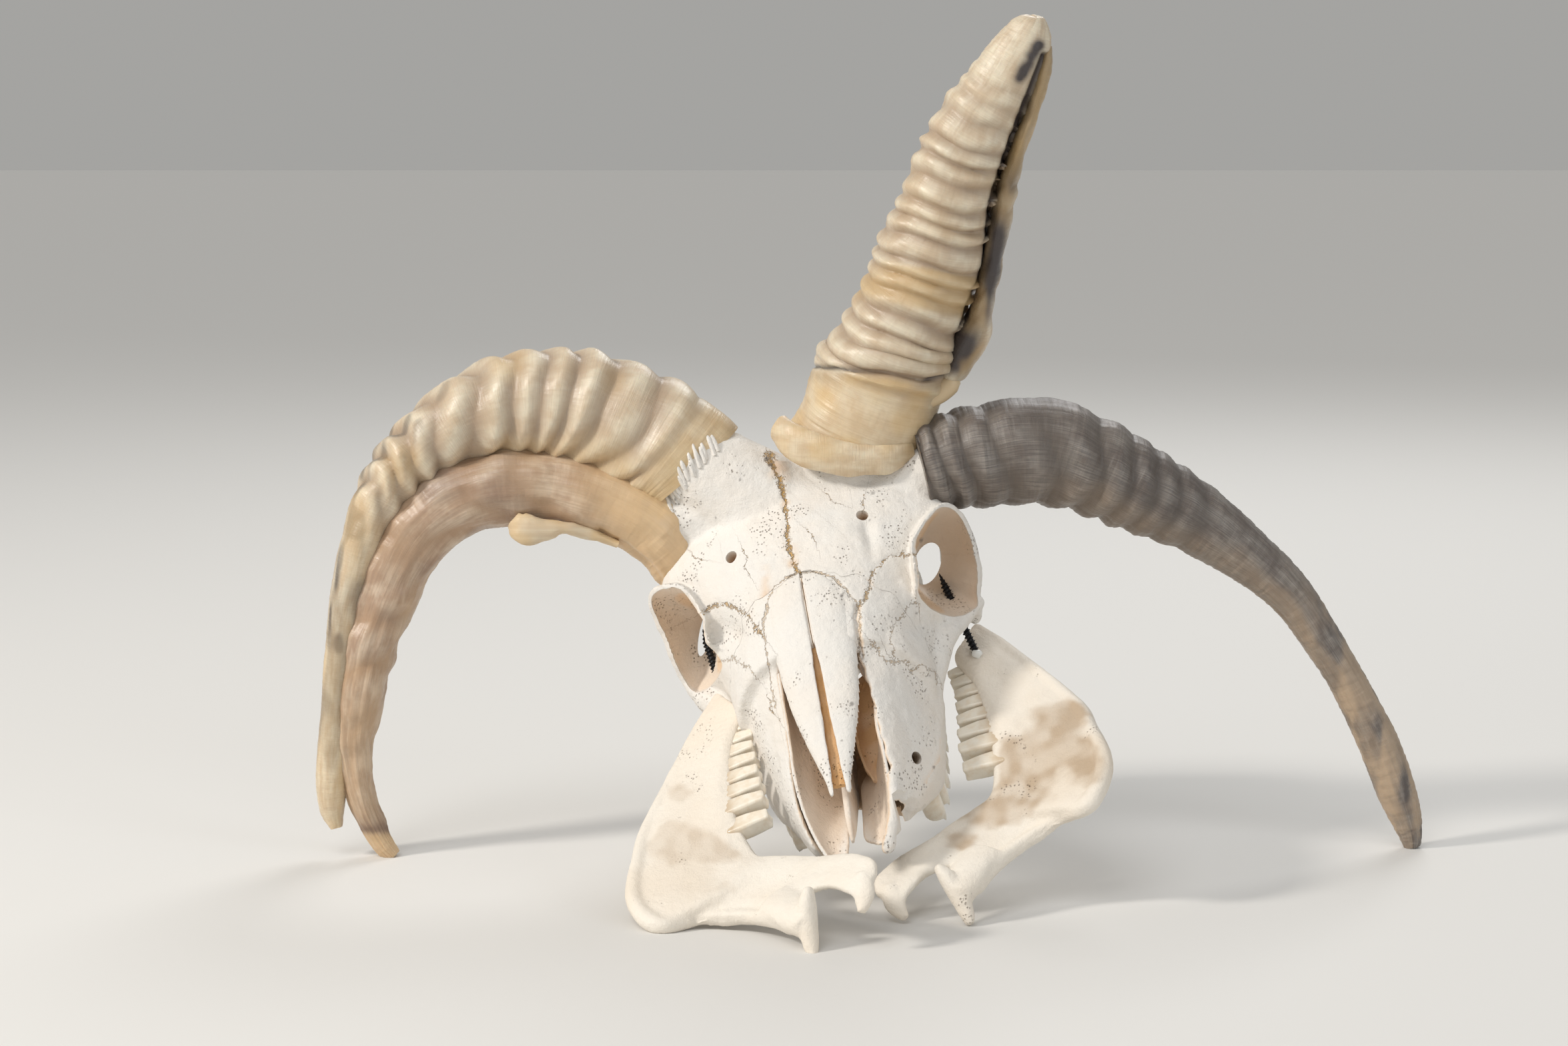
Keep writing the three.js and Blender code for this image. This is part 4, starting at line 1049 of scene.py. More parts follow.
def socket_hollow(side):
    """What is cut away: from before the rim to the wall, and on through its back to the temple."""
    rings = [socket_ring(side, 0, 0.35) - [0, 0, 45]]
    rings += [socket_ring(side, f, 0.35 * (1 - f)) for f in np.linspace(0, 1, 20)]
    last = socket_ring(side, 1)
    middle = last.mean(axis=0)
    for away, grow in ((3, 1.0), (20, 1.15), (75, 1.3)):
        rings.append(middle + (last - middle) * [grow, grow, 0] + [0, 0, away])
    return loft("socket", [raised(ring) for ring in rings])


def in_socket(points, side):
    """One for places on the wall of the eye socket, nought elsewhere."""
    seen_at = lying(points)
    middle = socket_shape(side, np.zeros(1))[0]
    turns = np.arctan2(seen_at[:, 1] - middle[1], seen_at[:, 0] - middle[0])
    _, reach, depth, _, _ = socket_shape(side, turns)
    away = np.hypot(seen_at[:, 0] - middle[0], seen_at[:, 1] - middle[1])
    return (away < reach + 0.7) * ramp(seen_at[:, 2] - depth, 0.2, 1.4) * (seen_at[:, 2] < 80)


# Sections of an upper jaw from back to front: y, then [x, z] of its top edge, its wall, its cheek and
# its tooth edge, then the x of its inner edge.
MAXILLA = [
    (4, (19, -14), (36, -26), (46, -50), (36, -74), 0.3),
    (-12, (17.5, -10), (34, -26), (44, -52), (37, -77), 0.3),
    (-28, (17.6, -19), (32, -34), (42, -60), (37, -79), 0.3),
    (-44, (18, -28), (29.5, -42), (38, -62), (34, -80), 0.3),
    (-60, (19, -36.5), (27.5, -50), (32.5, -63), (29, -78), 0.3),
    (-72, (20, -43.5), (25.8, -53.5), (27.4, -64), (24, -74), 4),
    (-84, (19.4, -51.6), (22, -57.6), (22.4, -64), (20, -70.4), 13),
    (-95, (16.5, -59), (17.6, -61.5), (17.4, -64.5), (16, -67), 13.4)]
WALL = 2.2
RIGHT_SWELL = 4.6  # the right upper jaw bulges out round its foremost teeth


def maxilla_shell(side):
    rows = spline([[y, *top, *wall, *cheek, *tooth, inner]
                   for y, top, wall, cheek, tooth, inner in MAXILLA], 90)
    rings = []
    for y, tx, tz, wx, wz, cx, cz, ox, oz, inner in rows:
        if side > 0:
            swell = RIGHT_SWELL * math.exp(-((y + 60) / 17) ** 2)
            cx, ox, wx = cx + swell, ox + swell, wx + swell * 0.3
            torn = 0.6 * math.sin(y * 0.83) + 0.45 * math.sin(y * 2.1 + 1) + 0.3 * math.sin(y * 4.7)
            torn = ramp(-y, 12, 30) * torn
            tx, tz = tx + torn, tz - 0.4 * torn
        shelf = max(oz + 5, -73)
        ridge = (inner + ox) / 2
        corners = [(tx, tz), (tx + (wx - tx) * 0.55, tz + (wz - tz) * 0.42), (wx, wz), (cx, cz),
                   (cx + (ox - cx) * 0.7 + 1, cz + (oz - cz) * 0.72), (ox, oz), (ox * 0.72, oz + 0.5),
                   (ridge, shelf - 2.4), (inner, shelf - 2.4), (inner, shelf + 0.6), (ridge, shelf + 0.6),
                   ((ridge + cx) / 2, cz + (shelf - cz) * 0.4), (wx - WALL * 1.6, wz - WALL),
                   (tx - WALL * 0.6, tz - WALL)]
        ring = []
        for (x0, z0), (x1, z1) in zip(corners, corners[1:] + corners[:1]):
            for f in (0, 0.25, 0.5, 0.75):
                ring.append((side * (x0 + (x1 - x0) * f), y, z0 + (z1 - z0) * f))
        rings.append(ring)
    return loft("maxilla_shell", rings)


TOOTH_BED = [(28, -58, -73.6, 4, 5), (31, -44, -74.6, 5, 6), (32.4, -28, -75.4, 5.6, 6.6),
             (32.6, -8, -75.6, 5.8, 6.8), (32.2, 11, -75, 5.4, 6.4)]
ARCH = [(60, 20, -57, 5, 4), (61, 34, -57, 5, 3.4), (58, 50, -57, 4.8, 3), (53, 66, -58, 5, 3),
        (46, 80, -60, 6, 4), (36, 90, -62, 8, 6)]
CHEEKBONES = [
    [(-65, 27, -55, 4.5, 4), (-58, 12, -56, 6, 5.5), (-49, -1, -59, 8, 7), (-42, -14, -63, 6, 7),
     (-38, -26, -66, 3, 4)],
    [(65, 25, -52, 3, 3), (57, 13, -51.6, 3, 3), (49, 3, -49, 5, 5), (42, -10, -52, 6, 6),
     (38, -24, -58, 3, 4)]]
SPLINTER = [(19.6, -76, -48, 1.5, 2.6), (17.6, -90, -55.6, 1.5, 3), (15, -98, -59.6, 1.6, 3.4),
            (12.6, -103.5, -62, 1.9, 3.6), (11.6, -106, -63, 1.2, 1.6)]
SEAM_REACH, SEAM_POINTS = 75, 130


def mirrored(side, stations):
    """Stations of the right side, set on either side of the midline."""
    return [(side * x, *rest) for x, *rest in stations]


def ragged_seam(point, normal, shift, seed):
    """A big block on the far side of a leaning seam, with a toothed face."""
    point, normal = np.array(point, float), unit(np.array(normal, float))
    up = unit(np.array([0, 0, 1.0]) - normal * normal[2])
    across = np.cross(normal, up)
    count = SEAM_POINTS
    spread = np.linspace(-SEAM_REACH, SEAM_REACH, count)
    u, v = np.meshgrid(spread, spread)
    flat = point + np.outer(u.ravel(), across) + np.outer(v.ravel(), up)
    teeth = 1.6 * grain(flat, 5.5, seed) + 1.0 * grain(flat, 2.4, seed + 1)
    face = flat + np.outer(shift + teeth, normal)
    back = flat + normal * 200
    points = np.vstack([face, back])
    half = count * count
    faces = []
    for i in range(count - 1):
        for j in range(count - 1):
            a = i * count + j
            faces.append((a, a + 1, a + count + 1, a + count))
            faces.append((half + a, half + a + count, half + a + count + 1, half + a + 1))
    rim = (list(range(count)) + [i * count + count - 1 for i in range(1, count)]
           + [(count - 1) * count + j for j in range(count - 2, -1, -1)]
           + [i * count for i in range(count - 2, 0, -1)])
    for a, b in zip(rim, rim[1:] + rim[:1]):
        faces.append((a, half + a, half + b, b))
    block = new_piece("seam_block", points, faces)
    outward(block)
    return block


def half_block(side):
    """Everything on one side of the midline, less half a narrow gap."""
    return box("half", (side * 200.15, 0, 0), 400)


def to_skull(points):
    back = np.linalg.inv(SKULL)
    return carried(carried(np.asarray(points, float), STANDING), back)


SPLINTER_INSIDE = 18.4  # x beyond which the broken front is cut away
RIDGE_CORNER = np.array([18.8, -75, -62.2])  # outer, back and upper corner of what goes below the splinter


def broken_front():
    """Where the right upper jaw is broken off before its teeth, beside a long splinter."""
    block = ragged_seam((20, -82, -60), (0.6, -1, -0.36), 0.0, 9)
    carve(block, [box("beside", (SPLINTER_INSIDE + 150, -100, -60), 300)], "INTERSECT")
    return block


def under_splinter():
    """Cuts the tooth ridge off below the splinter that is left of the upper jaw."""
    cutter = box("under", RIDGE_CORNER - 30, 60)
    p = places(cutter)
    p[:, 2] += np.where(p[:, 1] < -80, -5.5, 0)
    put(cutter, p)
    return cutter


def horn_core(base, end, start_half, end_half):
    a, b = to_skull([base, end])
    middle_half = (start_half + end_half) / 2
    stations = [(*a, start_half, start_half), (*((a + b) / 2), middle_half, middle_half),
                (*b, end_half, end_half)]
    return tube("horn_core", stations, 24, 40, across=(0, 1, 0))


def depth_in_roof(points):
    """How deep below the smooth brow and brain case each place lies."""
    table = spline(ROOF, 200)
    y = np.clip(points[:, 1], table[0, 0], table[-1, 0])
    half, top, widest, bottom = [np.interp(y, table[:, 0], table[:, k]) for k in (1, 2, 3, 4)]
    rise = np.where(points[:, 2] > widest, top - widest, widest - bottom)
    ratio = np.hypot(points[:, 0] / half, (points[:, 2] - widest) / rise)
    return (1 - ratio) * half


# Seams, cracks and specks of the face, as picture places.
MID_SEAM = [(1154, 684), (1164, 706), (1172, 729), (1178, 754), (1180, 782), (1181, 810), (1191, 847),
            (1198, 860)]
NOSE_SEAM = [(1163, 1060), (1156, 1030), (1153, 997), (1147, 966), (1145, 935), (1152, 898), (1162, 880),
             (1178, 867), (1198, 859), (1225, 857), (1250, 866), (1269, 885), (1284, 904), (1290, 919),
             (1289, 950), (1287, 990)]
NOSE_CRACK = [(1286, 908), (1284, 925), (1287, 950), (1291, 985)]
TEAR_SEAM_RIGHT = [(1376, 831), (1356, 831), (1333, 835), (1310, 854), (1304, 877), (1298, 896), (1290, 908)]
TEAR_SEAM_LEFT = [(1054, 917), (1075, 906), (1099, 908), (1120, 922), (1143, 952)]
CHEEK_SEAM = [(1377, 915), (1375, 900), (1364, 904), (1356, 922), (1339, 938), (1335, 955), (1341, 984)]
UPPER_JAW_SEAM = [
    (1308, 965), (1329, 992), (1360, 994), (1368, 1008), (1379, 998), (1402, 1008), (1410, 1027)]
CHEEK_SEAM_LEFT = [(1084, 990), (1100, 986), (1114, 995), (1128, 1010)]
SPECKS = [
    (1309, 739, 3.2), (1262, 893, 3.5), (1277, 1055, 4.5), (1265, 890, 2), (1073, 776, 2), (1110, 719, 2.6),
    (1384, 942, 2), (1374, 919, 2.4), (1381, 810, 4), (1250, 930, 1.6), (1262, 1110, 2), (1275, 1160, 2.2),
    (1312, 775, 2.2), (1303, 780, 1.6), (1400, 1150, 3), (1214, 995, 1.6), (1240, 985, 1.4),
    (1149, 688, 5), (1155, 697, 4)]
CRACKS = [[(1297, 742), (1294, 754), (1296, 768)], [(1114, 823), (1120, 836), (1117, 850), (1124, 862)],
          [(1012, 812), (1030, 822), (1042, 836), (1052, 838)], [(1205, 790), (1216, 800), (1221, 812)],
          [(1240, 742), (1252, 752), (1262, 756)], [(1150, 1040), (1156, 1062), (1168, 1080)]]
FACE_SEAMS = {"seam_mid": [MID_SEAM], "seam_nose": [NOSE_SEAM], "crack": CRACKS,
              "seam_tear": [TEAR_SEAM_RIGHT, TEAR_SEAM_LEFT], "seam_cheek": [CHEEK_SEAM, CHEEK_SEAM_LEFT]}
JAW_SEAMS = {**FACE_SEAMS, "seam_mid": [], "seam_cheek": [CHEEK_SEAM, UPPER_JAW_SEAM, CHEEK_SEAM_LEFT]}
PIXELS_PER_MM = 3.8
OPEN_SEAM_TOP, OPEN_SEAM_END = 690, 745  # rows between which the brow's seam gapes
FAR_OFF = 50.0  # a seam distance that shows nothing
LEAST_FACING = 0.08  # how squarely a place has to face the camera to carry a mark


def marked(obj, matrix, lines):
    """Signed seam distances in millimetres, kept to the side that faces the camera."""
    column, row, facing = seen(obj, matrix)
    front = facing > LEAST_FACING
    for name in FACE_SEAMS:
        near = np.full(len(column), FAR_OFF)
        for path in lines.get(name, []):
            away = from_path(column, row, path) / PIXELS_PER_MM
            near = np.where(np.abs(away) < np.abs(near), away, near)
        if name == "seam_mid":
            near = near / (1 + 0.9 * (1 - ramp(row, OPEN_SEAM_TOP, OPEN_SEAM_END)))
        paint(obj, name, np.where(front, near, FAR_OFF))
    speck = np.zeros(len(column))
    for x, y, size in SPECKS:
        away = np.hypot(column - x, row - y)
        speck = np.maximum(speck, 0.7 * ramp(away, size, size * 0.4))
    paint(obj, "speck", np.where(front, speck, 0))


def face_bones():
    """The brow, brain case and upper jaws shaped as one, for skull() to part at their seams."""
    parts = [roof_body(), upright_sections("floor", FLOOR, 60, 0.75)]
    parts += [tube("arch", mirrored(s, ARCH), 40, 20) for s in SIDES]
    parts += [ball("ear", (22 * s, 76, -92), (9, 13, 10)) for s in SIDES]
    parts += [ball("neck", (13 * s, 112, -86), (9, 9, 11)) for s in SIDES]
    parts += [rod("beside_neck", (29 * s, 104, -80), (31 * s, 102, -112), 6.5, 2) for s in SIDES]
    parts += [maxilla_shell(s) for s in SIDES]
    parts += [tube("tooth_bed", mirrored(s, TOOTH_BED), 40, 24) for s in SIDES]
    parts += [tube("cheekbone", stations, 30, 24) for stations in CHEEKBONES]
    parts.append(tube("splinter", SPLINTER, 40, 20, across=(0, 1, 0)))
    parts += [horn_core(*row) for row in CORES]
    block = fused("skull_block", parts, 1.2)
    soften(block, 6)
    cheeks = [ball("cheek_hollow", (43 * s, 46, -76), (22, 40, 20)) for s in SIDES]
    carve(block, [*cheeks, upright_sections("passage", PASSAGE, 50, 0.85),
                  rod("cord_hole", (0, 126, -80), (0, 84, -64), 9, 9.5)])
    block = fused("skull_block", [block, socket_cup(1), socket_cup(-1)], 0.9)
    soften(block, 4)
    return block


# Hollows of the face: picture place, half width and half height, and depth in millimetres.
DIMPLES = [
    (1092, 948, 24, 26, 3.0), (1306, 812, 9, 26, 1.3), (1300, 792, 9, 12, 0.9), (1090, 855, 8, 16, 0.8),
    (1345, 905, 22, 18, -0.9), (1060, 800, 30, 14, 1.0), (1330, 960, 20, 30, 0.8), (1390, 935, 16, 14, 1.0),
    (1240, 800, 40, 26, -0.8), (1135, 800, 36, 30, -0.6), (1180, 905, 20, 20, -0.5),
    (1232, 905, 20, 20, -0.5)]
# Lumps on both sides of the skull: height, place and radii in the skull's millimetres.
BROW_LUMPS = [(-1.56, (35, -8, -24), (9, 10, 12)), (1.2, (26, 8, -2), (13, 13, 12)),
              (-0.9, (29, 20, 1), (2.2, 7, 8))]
# Grooves along the seams: path, half width and depth in millimetres.
GROOVES = [(MID_SEAM, 0.7, 0.5), (NOSE_SEAM, 0.8, 0.35), (TEAR_SEAM_RIGHT, 0.7, 0.3),
           (TEAR_SEAM_LEFT, 0.7, 0.3), (NOSE_CRACK, 0.9, 2.2)]


def brow_relief(obj):
    """Low swellings and hollows of the face, the crest of the brow and the grooves of its seams."""
    p = places(obj)
    lift = 0.45 * grain(p, 14, 1) + 0.26 * grain(p, 5, 2) + 0.13 * grain(p, 1.8, 3)
    for s in SIDES:
        for height, (x, y, z), radii in BROW_LUMPS:
            lift += height * lump(p, (x * s, y, z), radii)
    lift += stripe(p[:, 0], 12) * ramp(p[:, 1], 8, 40) * (p[:, 2] > 0)
    column, row, facing = seen(obj, SKULL)
    front = facing > 0
    for x, y, wide, high, deep in DIMPLES:
        lift -= deep * patch(column, row, x, y, wide, high) * front
    for path, width, deep in GROOVES:
        away = from_path(column, row, path) / PIXELS_PER_MM + 0.5 * grain(p, 2.6, 17)
        lift -= deep * stripe(away, width) * front
    raised_by(obj, lift)


def finish_bone(obj, node, inner, stain):
    obj.name = node + "_bone"
    share_out(obj, "inner", inner)
    share_out(obj, "stain", stain)
    settle(obj, SKULL, BONE, [node])


SEAM_POINT, SEAM_NORMAL = (0, -11, -30), (0, -1, 0.36)
# Tip and head of each screw.
SCREWS = {-1: ((-53.5, 37, -40), (-49.5, 3, -66.5)), 1: ((49.5, 42, -46.5), (57.5, 13, -74))}
# Sections of a nose bone from back to front: y, half width, top, drop of its outer edge, inner edge.
NASAL = [(3, 4, 0.6, 0.4, 0.5), (-2, 11, 0.2, 2.4, 0.5), (-10, 16, -2.6, 5.6, 0.6), (-22, 17, -8.2, 7, 0.8),
         (-36, 16, -15.2, 6.4, 1.1), (-50, 14, -21.8, 5.4, 1.4), (-62, 11.2, -27.4, 4.4, 1.7),
         (-74, 7.6, -33.4, 3.2, 2), (-83, 5, -38, 1.8, 2.3), (-89, 4.2, -41, 0.9, 2.8)]


def nasal_leaf(side, grow=0.0, lift=0.0):
    rings = []
    for y, half, top, drop, inner in spline(NASAL, 100):
        width = half + grow
        thick = min(2.2, 0.5 + half * 0.3)
        gap = inner if grow == 0 else -1.0
        f = np.linspace(0, 1, 17)
        x = gap + (width - gap) * np.sin(f * math.pi / 2)
        z = top + lift - drop * (1 - np.cos(f * math.pi / 2)) ** 1.15
        under = z[::-1][1:-1] - lift - thick * 0.9 - grow
        edge = [*zip(x, z), *zip(x[::-1][1:-1], under), (gap, top - thick - grow)]
        rings.append([(side * a, y + grow * (y > 2), b) for a, b in edge])
    return loft("nose_bone", rings)


# Holes above the eyes: both ends and both radii of each bore.
BROW_HOLES = [((-29.4, 21, 9), (-27, 31, -12), 3.0, 2.0), ((29, 26, 9), (27, 33, -12), 2.7, 2.0)]
# Ochre traces beside the seams: picture place, half width and half height.
OCHRE = [(1149, 905, 8, 45), (1152, 985, 6, 40), (1292, 905, 9, 30), (1164, 700, 12, 18), (1178, 760, 6, 50),
         (1188, 840, 8, 18), (1300, 880, 10, 12), (1286, 935, 5, 34)]


def skull():
    block = face_bones()
    brow_relief(block)
    holes = [rod("brow_hole", *hole_shade) for hole_shade in BROW_HOLES]
    holes += [socket_hollow(s) for s in SIDES]
    holes.append(rod("cheek_opening", (38, -77, -44), (24, -56, -60), 2.0, 3.0))
    carve(block, holes)
    uppers = {}
    for side in SIDES:
        upper = copied(block, "upper_jaw")
        carve(upper, [ragged_seam(SEAM_POINT, SEAM_NORMAL, 0.12, 5), half_block(side)], "INTERSECT")
        if side > 0:
            carve(upper, [broken_front(), under_splinter()])
        uppers[side] = upper
    carve(block, [ragged_seam(SEAM_POINT, SEAM_NORMAL, -0.12, 5)])
    carve(block, [nasal_leaf(s, 0.3, 8) for s in SIDES])
    return block, uppers


# Upper cheek teeth: y of the middle, length, x of the middle, height of the crown.
UPPER_TEETH = [(-62, 9, 25.5, 8), (-52.5, 9.5, 28, 9), (-42, 10.5, 30.4, 10), (-29.5, 13, 32, 11),
               (-15, 15, 33, 11), (1, 16, 32.6, 10)]
CROWN_SECTIONS = ((0, 0.78), (0.35, 0.95), (0.7, 1), (0.9, 0.94), (1, 0.8))  # share of the height, swell
CROWN_SIDES, CROWN_TOP = 24, -72


def crown(side, y, length, x, height):
    """One lobe of an upper cheek tooth, with a sharp outer cusp."""
    turn = np.arange(CROWN_SIDES) / CROWN_SIDES * 2 * math.pi
    c, s = np.cos(turn), np.sin(turn)
    low = -80 - height * 0.6
    rings = []
    for f, swell in CROWN_SECTIONS:
        z = CROWN_TOP + (low - CROWN_TOP) * f
        cusp = (f ** 3) * (3.6 * np.maximum(c, 0) * stripe(s, 0.5) - 1.6 * np.maximum(-c, 0))
        ring_x = side * (x + 4.4 * swell * np.sign(c) * np.abs(c) ** 0.6)
        ring_y = y + length * 0.49 * swell * np.sign(s) * np.abs(s) ** 0.7
        rings.append(np.stack([ring_x, ring_y, z - cusp], axis=1))
    return loft("crown", rings)


def upper_teeth(side):
    """Six cheek teeth in a row; the long ones have two lobes."""
    crowns = []
    for y, length, x, height in UPPER_TEETH:
        if side > 0:
            x += 0.75 * RIGHT_SWELL * math.exp(-((y + 60) / 20) ** 2)
            height += 4
        lobes = 1 if length < 12 else 2
        for k in range(lobes):
            lobe_y = y + (k - (lobes - 1) / 2) * length / lobes
            crowns.append(crown(side, lobe_y, length / lobes, x, height))
    return joined("upper_teeth_" + SIDES[side], crowns)


def in_bores(p):
    """One for places in the holes above the eyes."""
    bores = np.zeros(len(p))
    for start, end, radius, _ in BROW_HOLES:
        start, end = np.array(start), np.array(end)
        away = np.linalg.norm(np.cross(p - start, unit(end - start)), axis=1)
        bores = np.maximum(bores, (away < radius + 0.7) * ramp(depth_in_roof(p), 0.8, 2.2))
    return bores


def finish_cranium(block):
    p = places(block)
    column, row, facing = seen(block, SKULL)
    sockets = np.maximum(in_socket(p, 1), in_socket(p, -1))
    bores = in_bores(p)
    # Deep hollows and socket walls are made warm: partly the tan of inner bone, partly painted glow of light
    # through the thin walls.
    inner = np.maximum(0.95 * ramp(depth_in_roof(p), 2.5, 8), 0.42 * sockets)
    inner = np.maximum(inner, bores)
    ochre = sum(patch(column, row, *spot) for spot in OCHRE)
    ochre = ochre * (facing > 0) * ramp(grain(p, 3, 44), -0.4, 0.5)
    marked(block, SKULL, FACE_SEAMS)
    stain = 0.25 * ramp(grain(p, 12, 31), 0.1, 0.8) * inner + 0.5 * ochre + bores
    finish_bone(block, "cranium", inner, stain)


def finish_upper_jaw(upper, side):
    p = places(upper)
    n = facings(upper)
    # The faces turned into the nose and the nose floor are made warm and tan: partly the bone's own tan,
    # partly painted glow where the nose lies in shade.
    nose_floor = (n[:, 2] > 0.3) * ramp(-p[:, 2], 60, 66)
    inner = np.maximum(ramp(-n[:, 0] * side, 0.0, 0.5), 0.5 * in_socket(p, side))
    inner = np.maximum(inner, nose_floor)
    tan = np.maximum(0.2 * inner * ramp(grain(p, 9, 3), 0, 0.7), 0.35 * nose_floor)
    node = "maxilla_" + SIDES[side]
    marked(upper, SKULL, JAW_SEAMS)
    finish_bone(upper, node, 0.7 * inner, tan)
    teeth = upper_teeth(side)
    paint(teeth, "stain", 0.6 * ramp(places(teeth)[:, 2], -76, -72))
    settle(teeth, SKULL, ENAMEL, [node])


def nasal_bones():
    for side, word in SIDES.items():
        leaf = nasal_leaf(side)
        reskin(leaf, 0.55)
        soften(leaf, 3)
        roughen(leaf, (0.22, 6, 41), (0.1, 2.2, 43))
        marked(leaf, SKULL, {"seam_nose": [NOSE_SEAM]})
        n = facings(leaf)
        # Faces that look down are made warmer and darker: painted shade under the nose bones, partly the tan
        # of their inner side.
        finish_bone(leaf, "nasal_" + word, ramp(-n[:, 2], 0.0, 0.5), np.zeros(len(n)))


# Sections of the thin walls of the muzzle: y, then [x, z] of the outer edge, the bend and the inner edge.
PREMAXILLA = [
    (-58, (18, -36.4), (15, -58), (4, -66)), (-70, (18.6, -43), (14, -60), (3.2, -66)),
    (-82, (17.8, -51), (12, -61.5), (3, -65.6)), (-92, (15.4, -57), (10.4, -62.8), (3.4, -65.4)),
    (-101, (12, -60), (9, -63.4), (4.8, -65)), (-108, (8.6, -62.4), (8, -63.4), (7, -64))]
RIGHT_UPPER_WALL = [(-38, (19.4, -31), (20, -50), (15, -62)), (-48, (19, -33), (18, -55), (9, -66))]
LEFT_UPPER_WALL = [(-30, (17, -21.4), (17, -28), (16.6, -32)), (-44, (17.4, -28.6), (16.6, -40),
                   (13.6, -48))]


RIGHT_TIP = (-98, (12.6, -59.8), (10.6, -62.6), (9, -63.8))
MUZZLE = {-1: LEFT_UPPER_WALL + PREMAXILLA, 1: RIGHT_UPPER_WALL + PREMAXILLA[:4] + [RIGHT_TIP]}


def sheet_sides(curve, half):
    """The two faces of a thin sheet along a curve of [x, z], half its thickness away."""
    step = np.gradient(curve, axis=0)
    across = np.stack([step[:, 1], -step[:, 0]], axis=1)
    across = half * across / np.linalg.norm(across, axis=1)[:, None]
    return curve + across, curve - across


def muzzle_plates():
    f = np.linspace(0, 1, 20)[:, None]
    for side, word in SIDES.items():
        rings = []
        for y, ox, oz, bx, bz, ix, iz in spline([[y, *o, *b, *i] for y, o, b, i in MUZZLE[side]], 90):
            outer, bend, inner = np.array([(ox, oz), (bx + 1.4, bz - 3.0), (ix, iz)])
            curve = (1 - f) ** 2 * outer + 2 * f * (1 - f) * bend + f ** 2 * inner
            above, below = sheet_sides(curve, 0.75)
            rings.append([(side * a, y, b) for a, b in np.vstack([below, above[::-1]])])
        plate = loft("muzzle_plate", rings)
        reskin(plate, 0.5)
        soften(plate, 2)
        roughen(plate, (0.15, 5, 51))
        marked(plate, SKULL, {})
        # The inward faces of these thin plates are made warm and tan: partly the bone's own tan, partly
        # painted glow of light through the plates.
        within = ramp(-facings(plate)[:, 0] * side, -0.2, 0.4)
        tan = 0.35 * within * ramp(places(plate)[:, 1], -80, -40)
        finish_bone(plate, "premaxilla_" + word, 0.5 * within, tan)


# Sections of the blade in the nose: y, top, low edge, half width.
NOSE_BLADE = [(-30, -46, -72, 1.2), (-58, -48, -72, 1.3), (-72, -49.5, -67, 1.4), (-88, -51, -62, 1.3),
              (-97, -53.5, -58.5, 1.0), (-101, -56, -57.6, 0.6)]


def nose_blade():
    rings = []
    for y, top, low, half in spline(NOSE_BLADE, 50):
        waist = (top + low) / 2
        edge = ((-half, top), (0, top + 0.4), (half, top), (half, waist), (half, low), (-half, low),
                (-half, waist))
        rings.append([(x, y, z) for x, z in edge])
    blade = loft("nose_blade", rings)
    reskin(blade, 0.5)
    soften(blade, 2)
    marked(blade, SKULL, {})
    p = places(blade)
    finish_bone(blade, "vomer", np.full(len(p), 0.35), 0.2 * ramp(grain(p, 8, 5), 0, 0.8))


def nose_lining():
    """The tan strip of gristle and bone seen down the gap between the nose bones."""
    rings = []
    for y, half, top, _, _ in spline(NASAL[2:-1], 60):
        z, wide = top - 4.6, min(4.4, half * 0.6)
        rings.append([(x, y, z + lift) for x, lift in (
            (-wide, -0.6), (-wide / 2, 0.3), (0, 0.6), (wide / 2, 0.3), (wide, -0.6), (wide / 2, -1.2),
            (0, -1.0), (-wide / 2, -1.2))])
    lining = loft("nose_lining", rings)
    marked(lining, SKULL, {})
    p = places(lining)
    put(lining, p + [0, 0, 1] * (0.3 * grain(p, 3, 8))[:, None])  # only up and down
    paint(lining, "inner", np.ones(len(p)))
    paint(lining, "stain", 0.75 + 0.2 * grain(p, 4, 9))
    settle(lining, SKULL, BONE, ["vomer"])


NOSE_SCROLL = [(-24, 14, -36, 5), (-36, 13.4, -41, 7), (-48, 13, -47, 8), (-58, 13.4, -53, 7),
               (-66, 14.4, -57, 4)]  # y, x, z and size


def nose_scroll():
    """The tan scroll of thin bone inside the right half of the nose."""
    f = np.linspace(-0.5, 2.6, 24)
    rings = []
    for y, x, z, size in spline(NOSE_SCROLL, 40):
        reach = size * (1 - 0.16 * f)
        curve = np.stack([x + reach * np.cos(f + 0.6) - 1.5, z - 0.9 * reach * np.sin(f)], axis=1)
        above, below = sheet_sides(curve, 0.5)
        rings.append([(a, y, b) for a, b in np.vstack([above, below[::-1]])])
    scroll = loft("nose_scroll", rings)
    marked(scroll, SKULL, {})
    p = places(scroll)
    put(scroll, p + (0.25 * grain(p, 4, 3))[:, None])
    # Its warm tan is partly the bone's own colour and partly painted glow of light through the thin scroll.
    paint(scroll, "inner", np.full(len(p), 0.9))
    paint(scroll, "stain", 0.35 + 0.3 * ramp(grain(p, 6, 5), -0.4, 0.4))
    settle(scroll, SKULL, BONE, ["maxilla_right"])


def shown_place(tree, column, row):
    """Where a line of sight through a picture place first meets a piece, in standing millimetres."""
    right = (column - FRAME_WIDTH / 2) / FOCAL_PIXELS
    up = (FRAME_HEIGHT / 2 - row) / FOCAL_PIXELS
    sight = unit(AHEAD + right * np.array([1, 0, 0]) + up * UPWARD)
    hit = tree.ray_cast(Vector(CAMERA_PLACE * MM), Vector(sight))
    return None if hit[0] is None else (np.array(hit[0]) / MM, np.array(hit[1]))


COMB = [(1074, 664), (1060, 676), (1047, 688), (1036, 700), (1026, 713), (1018, 727), (1010, 742),
        (1003, 757)]
COMB_TEETH = 15
COMB_RISE = np.array([-0.32, 0.0, 1.0])
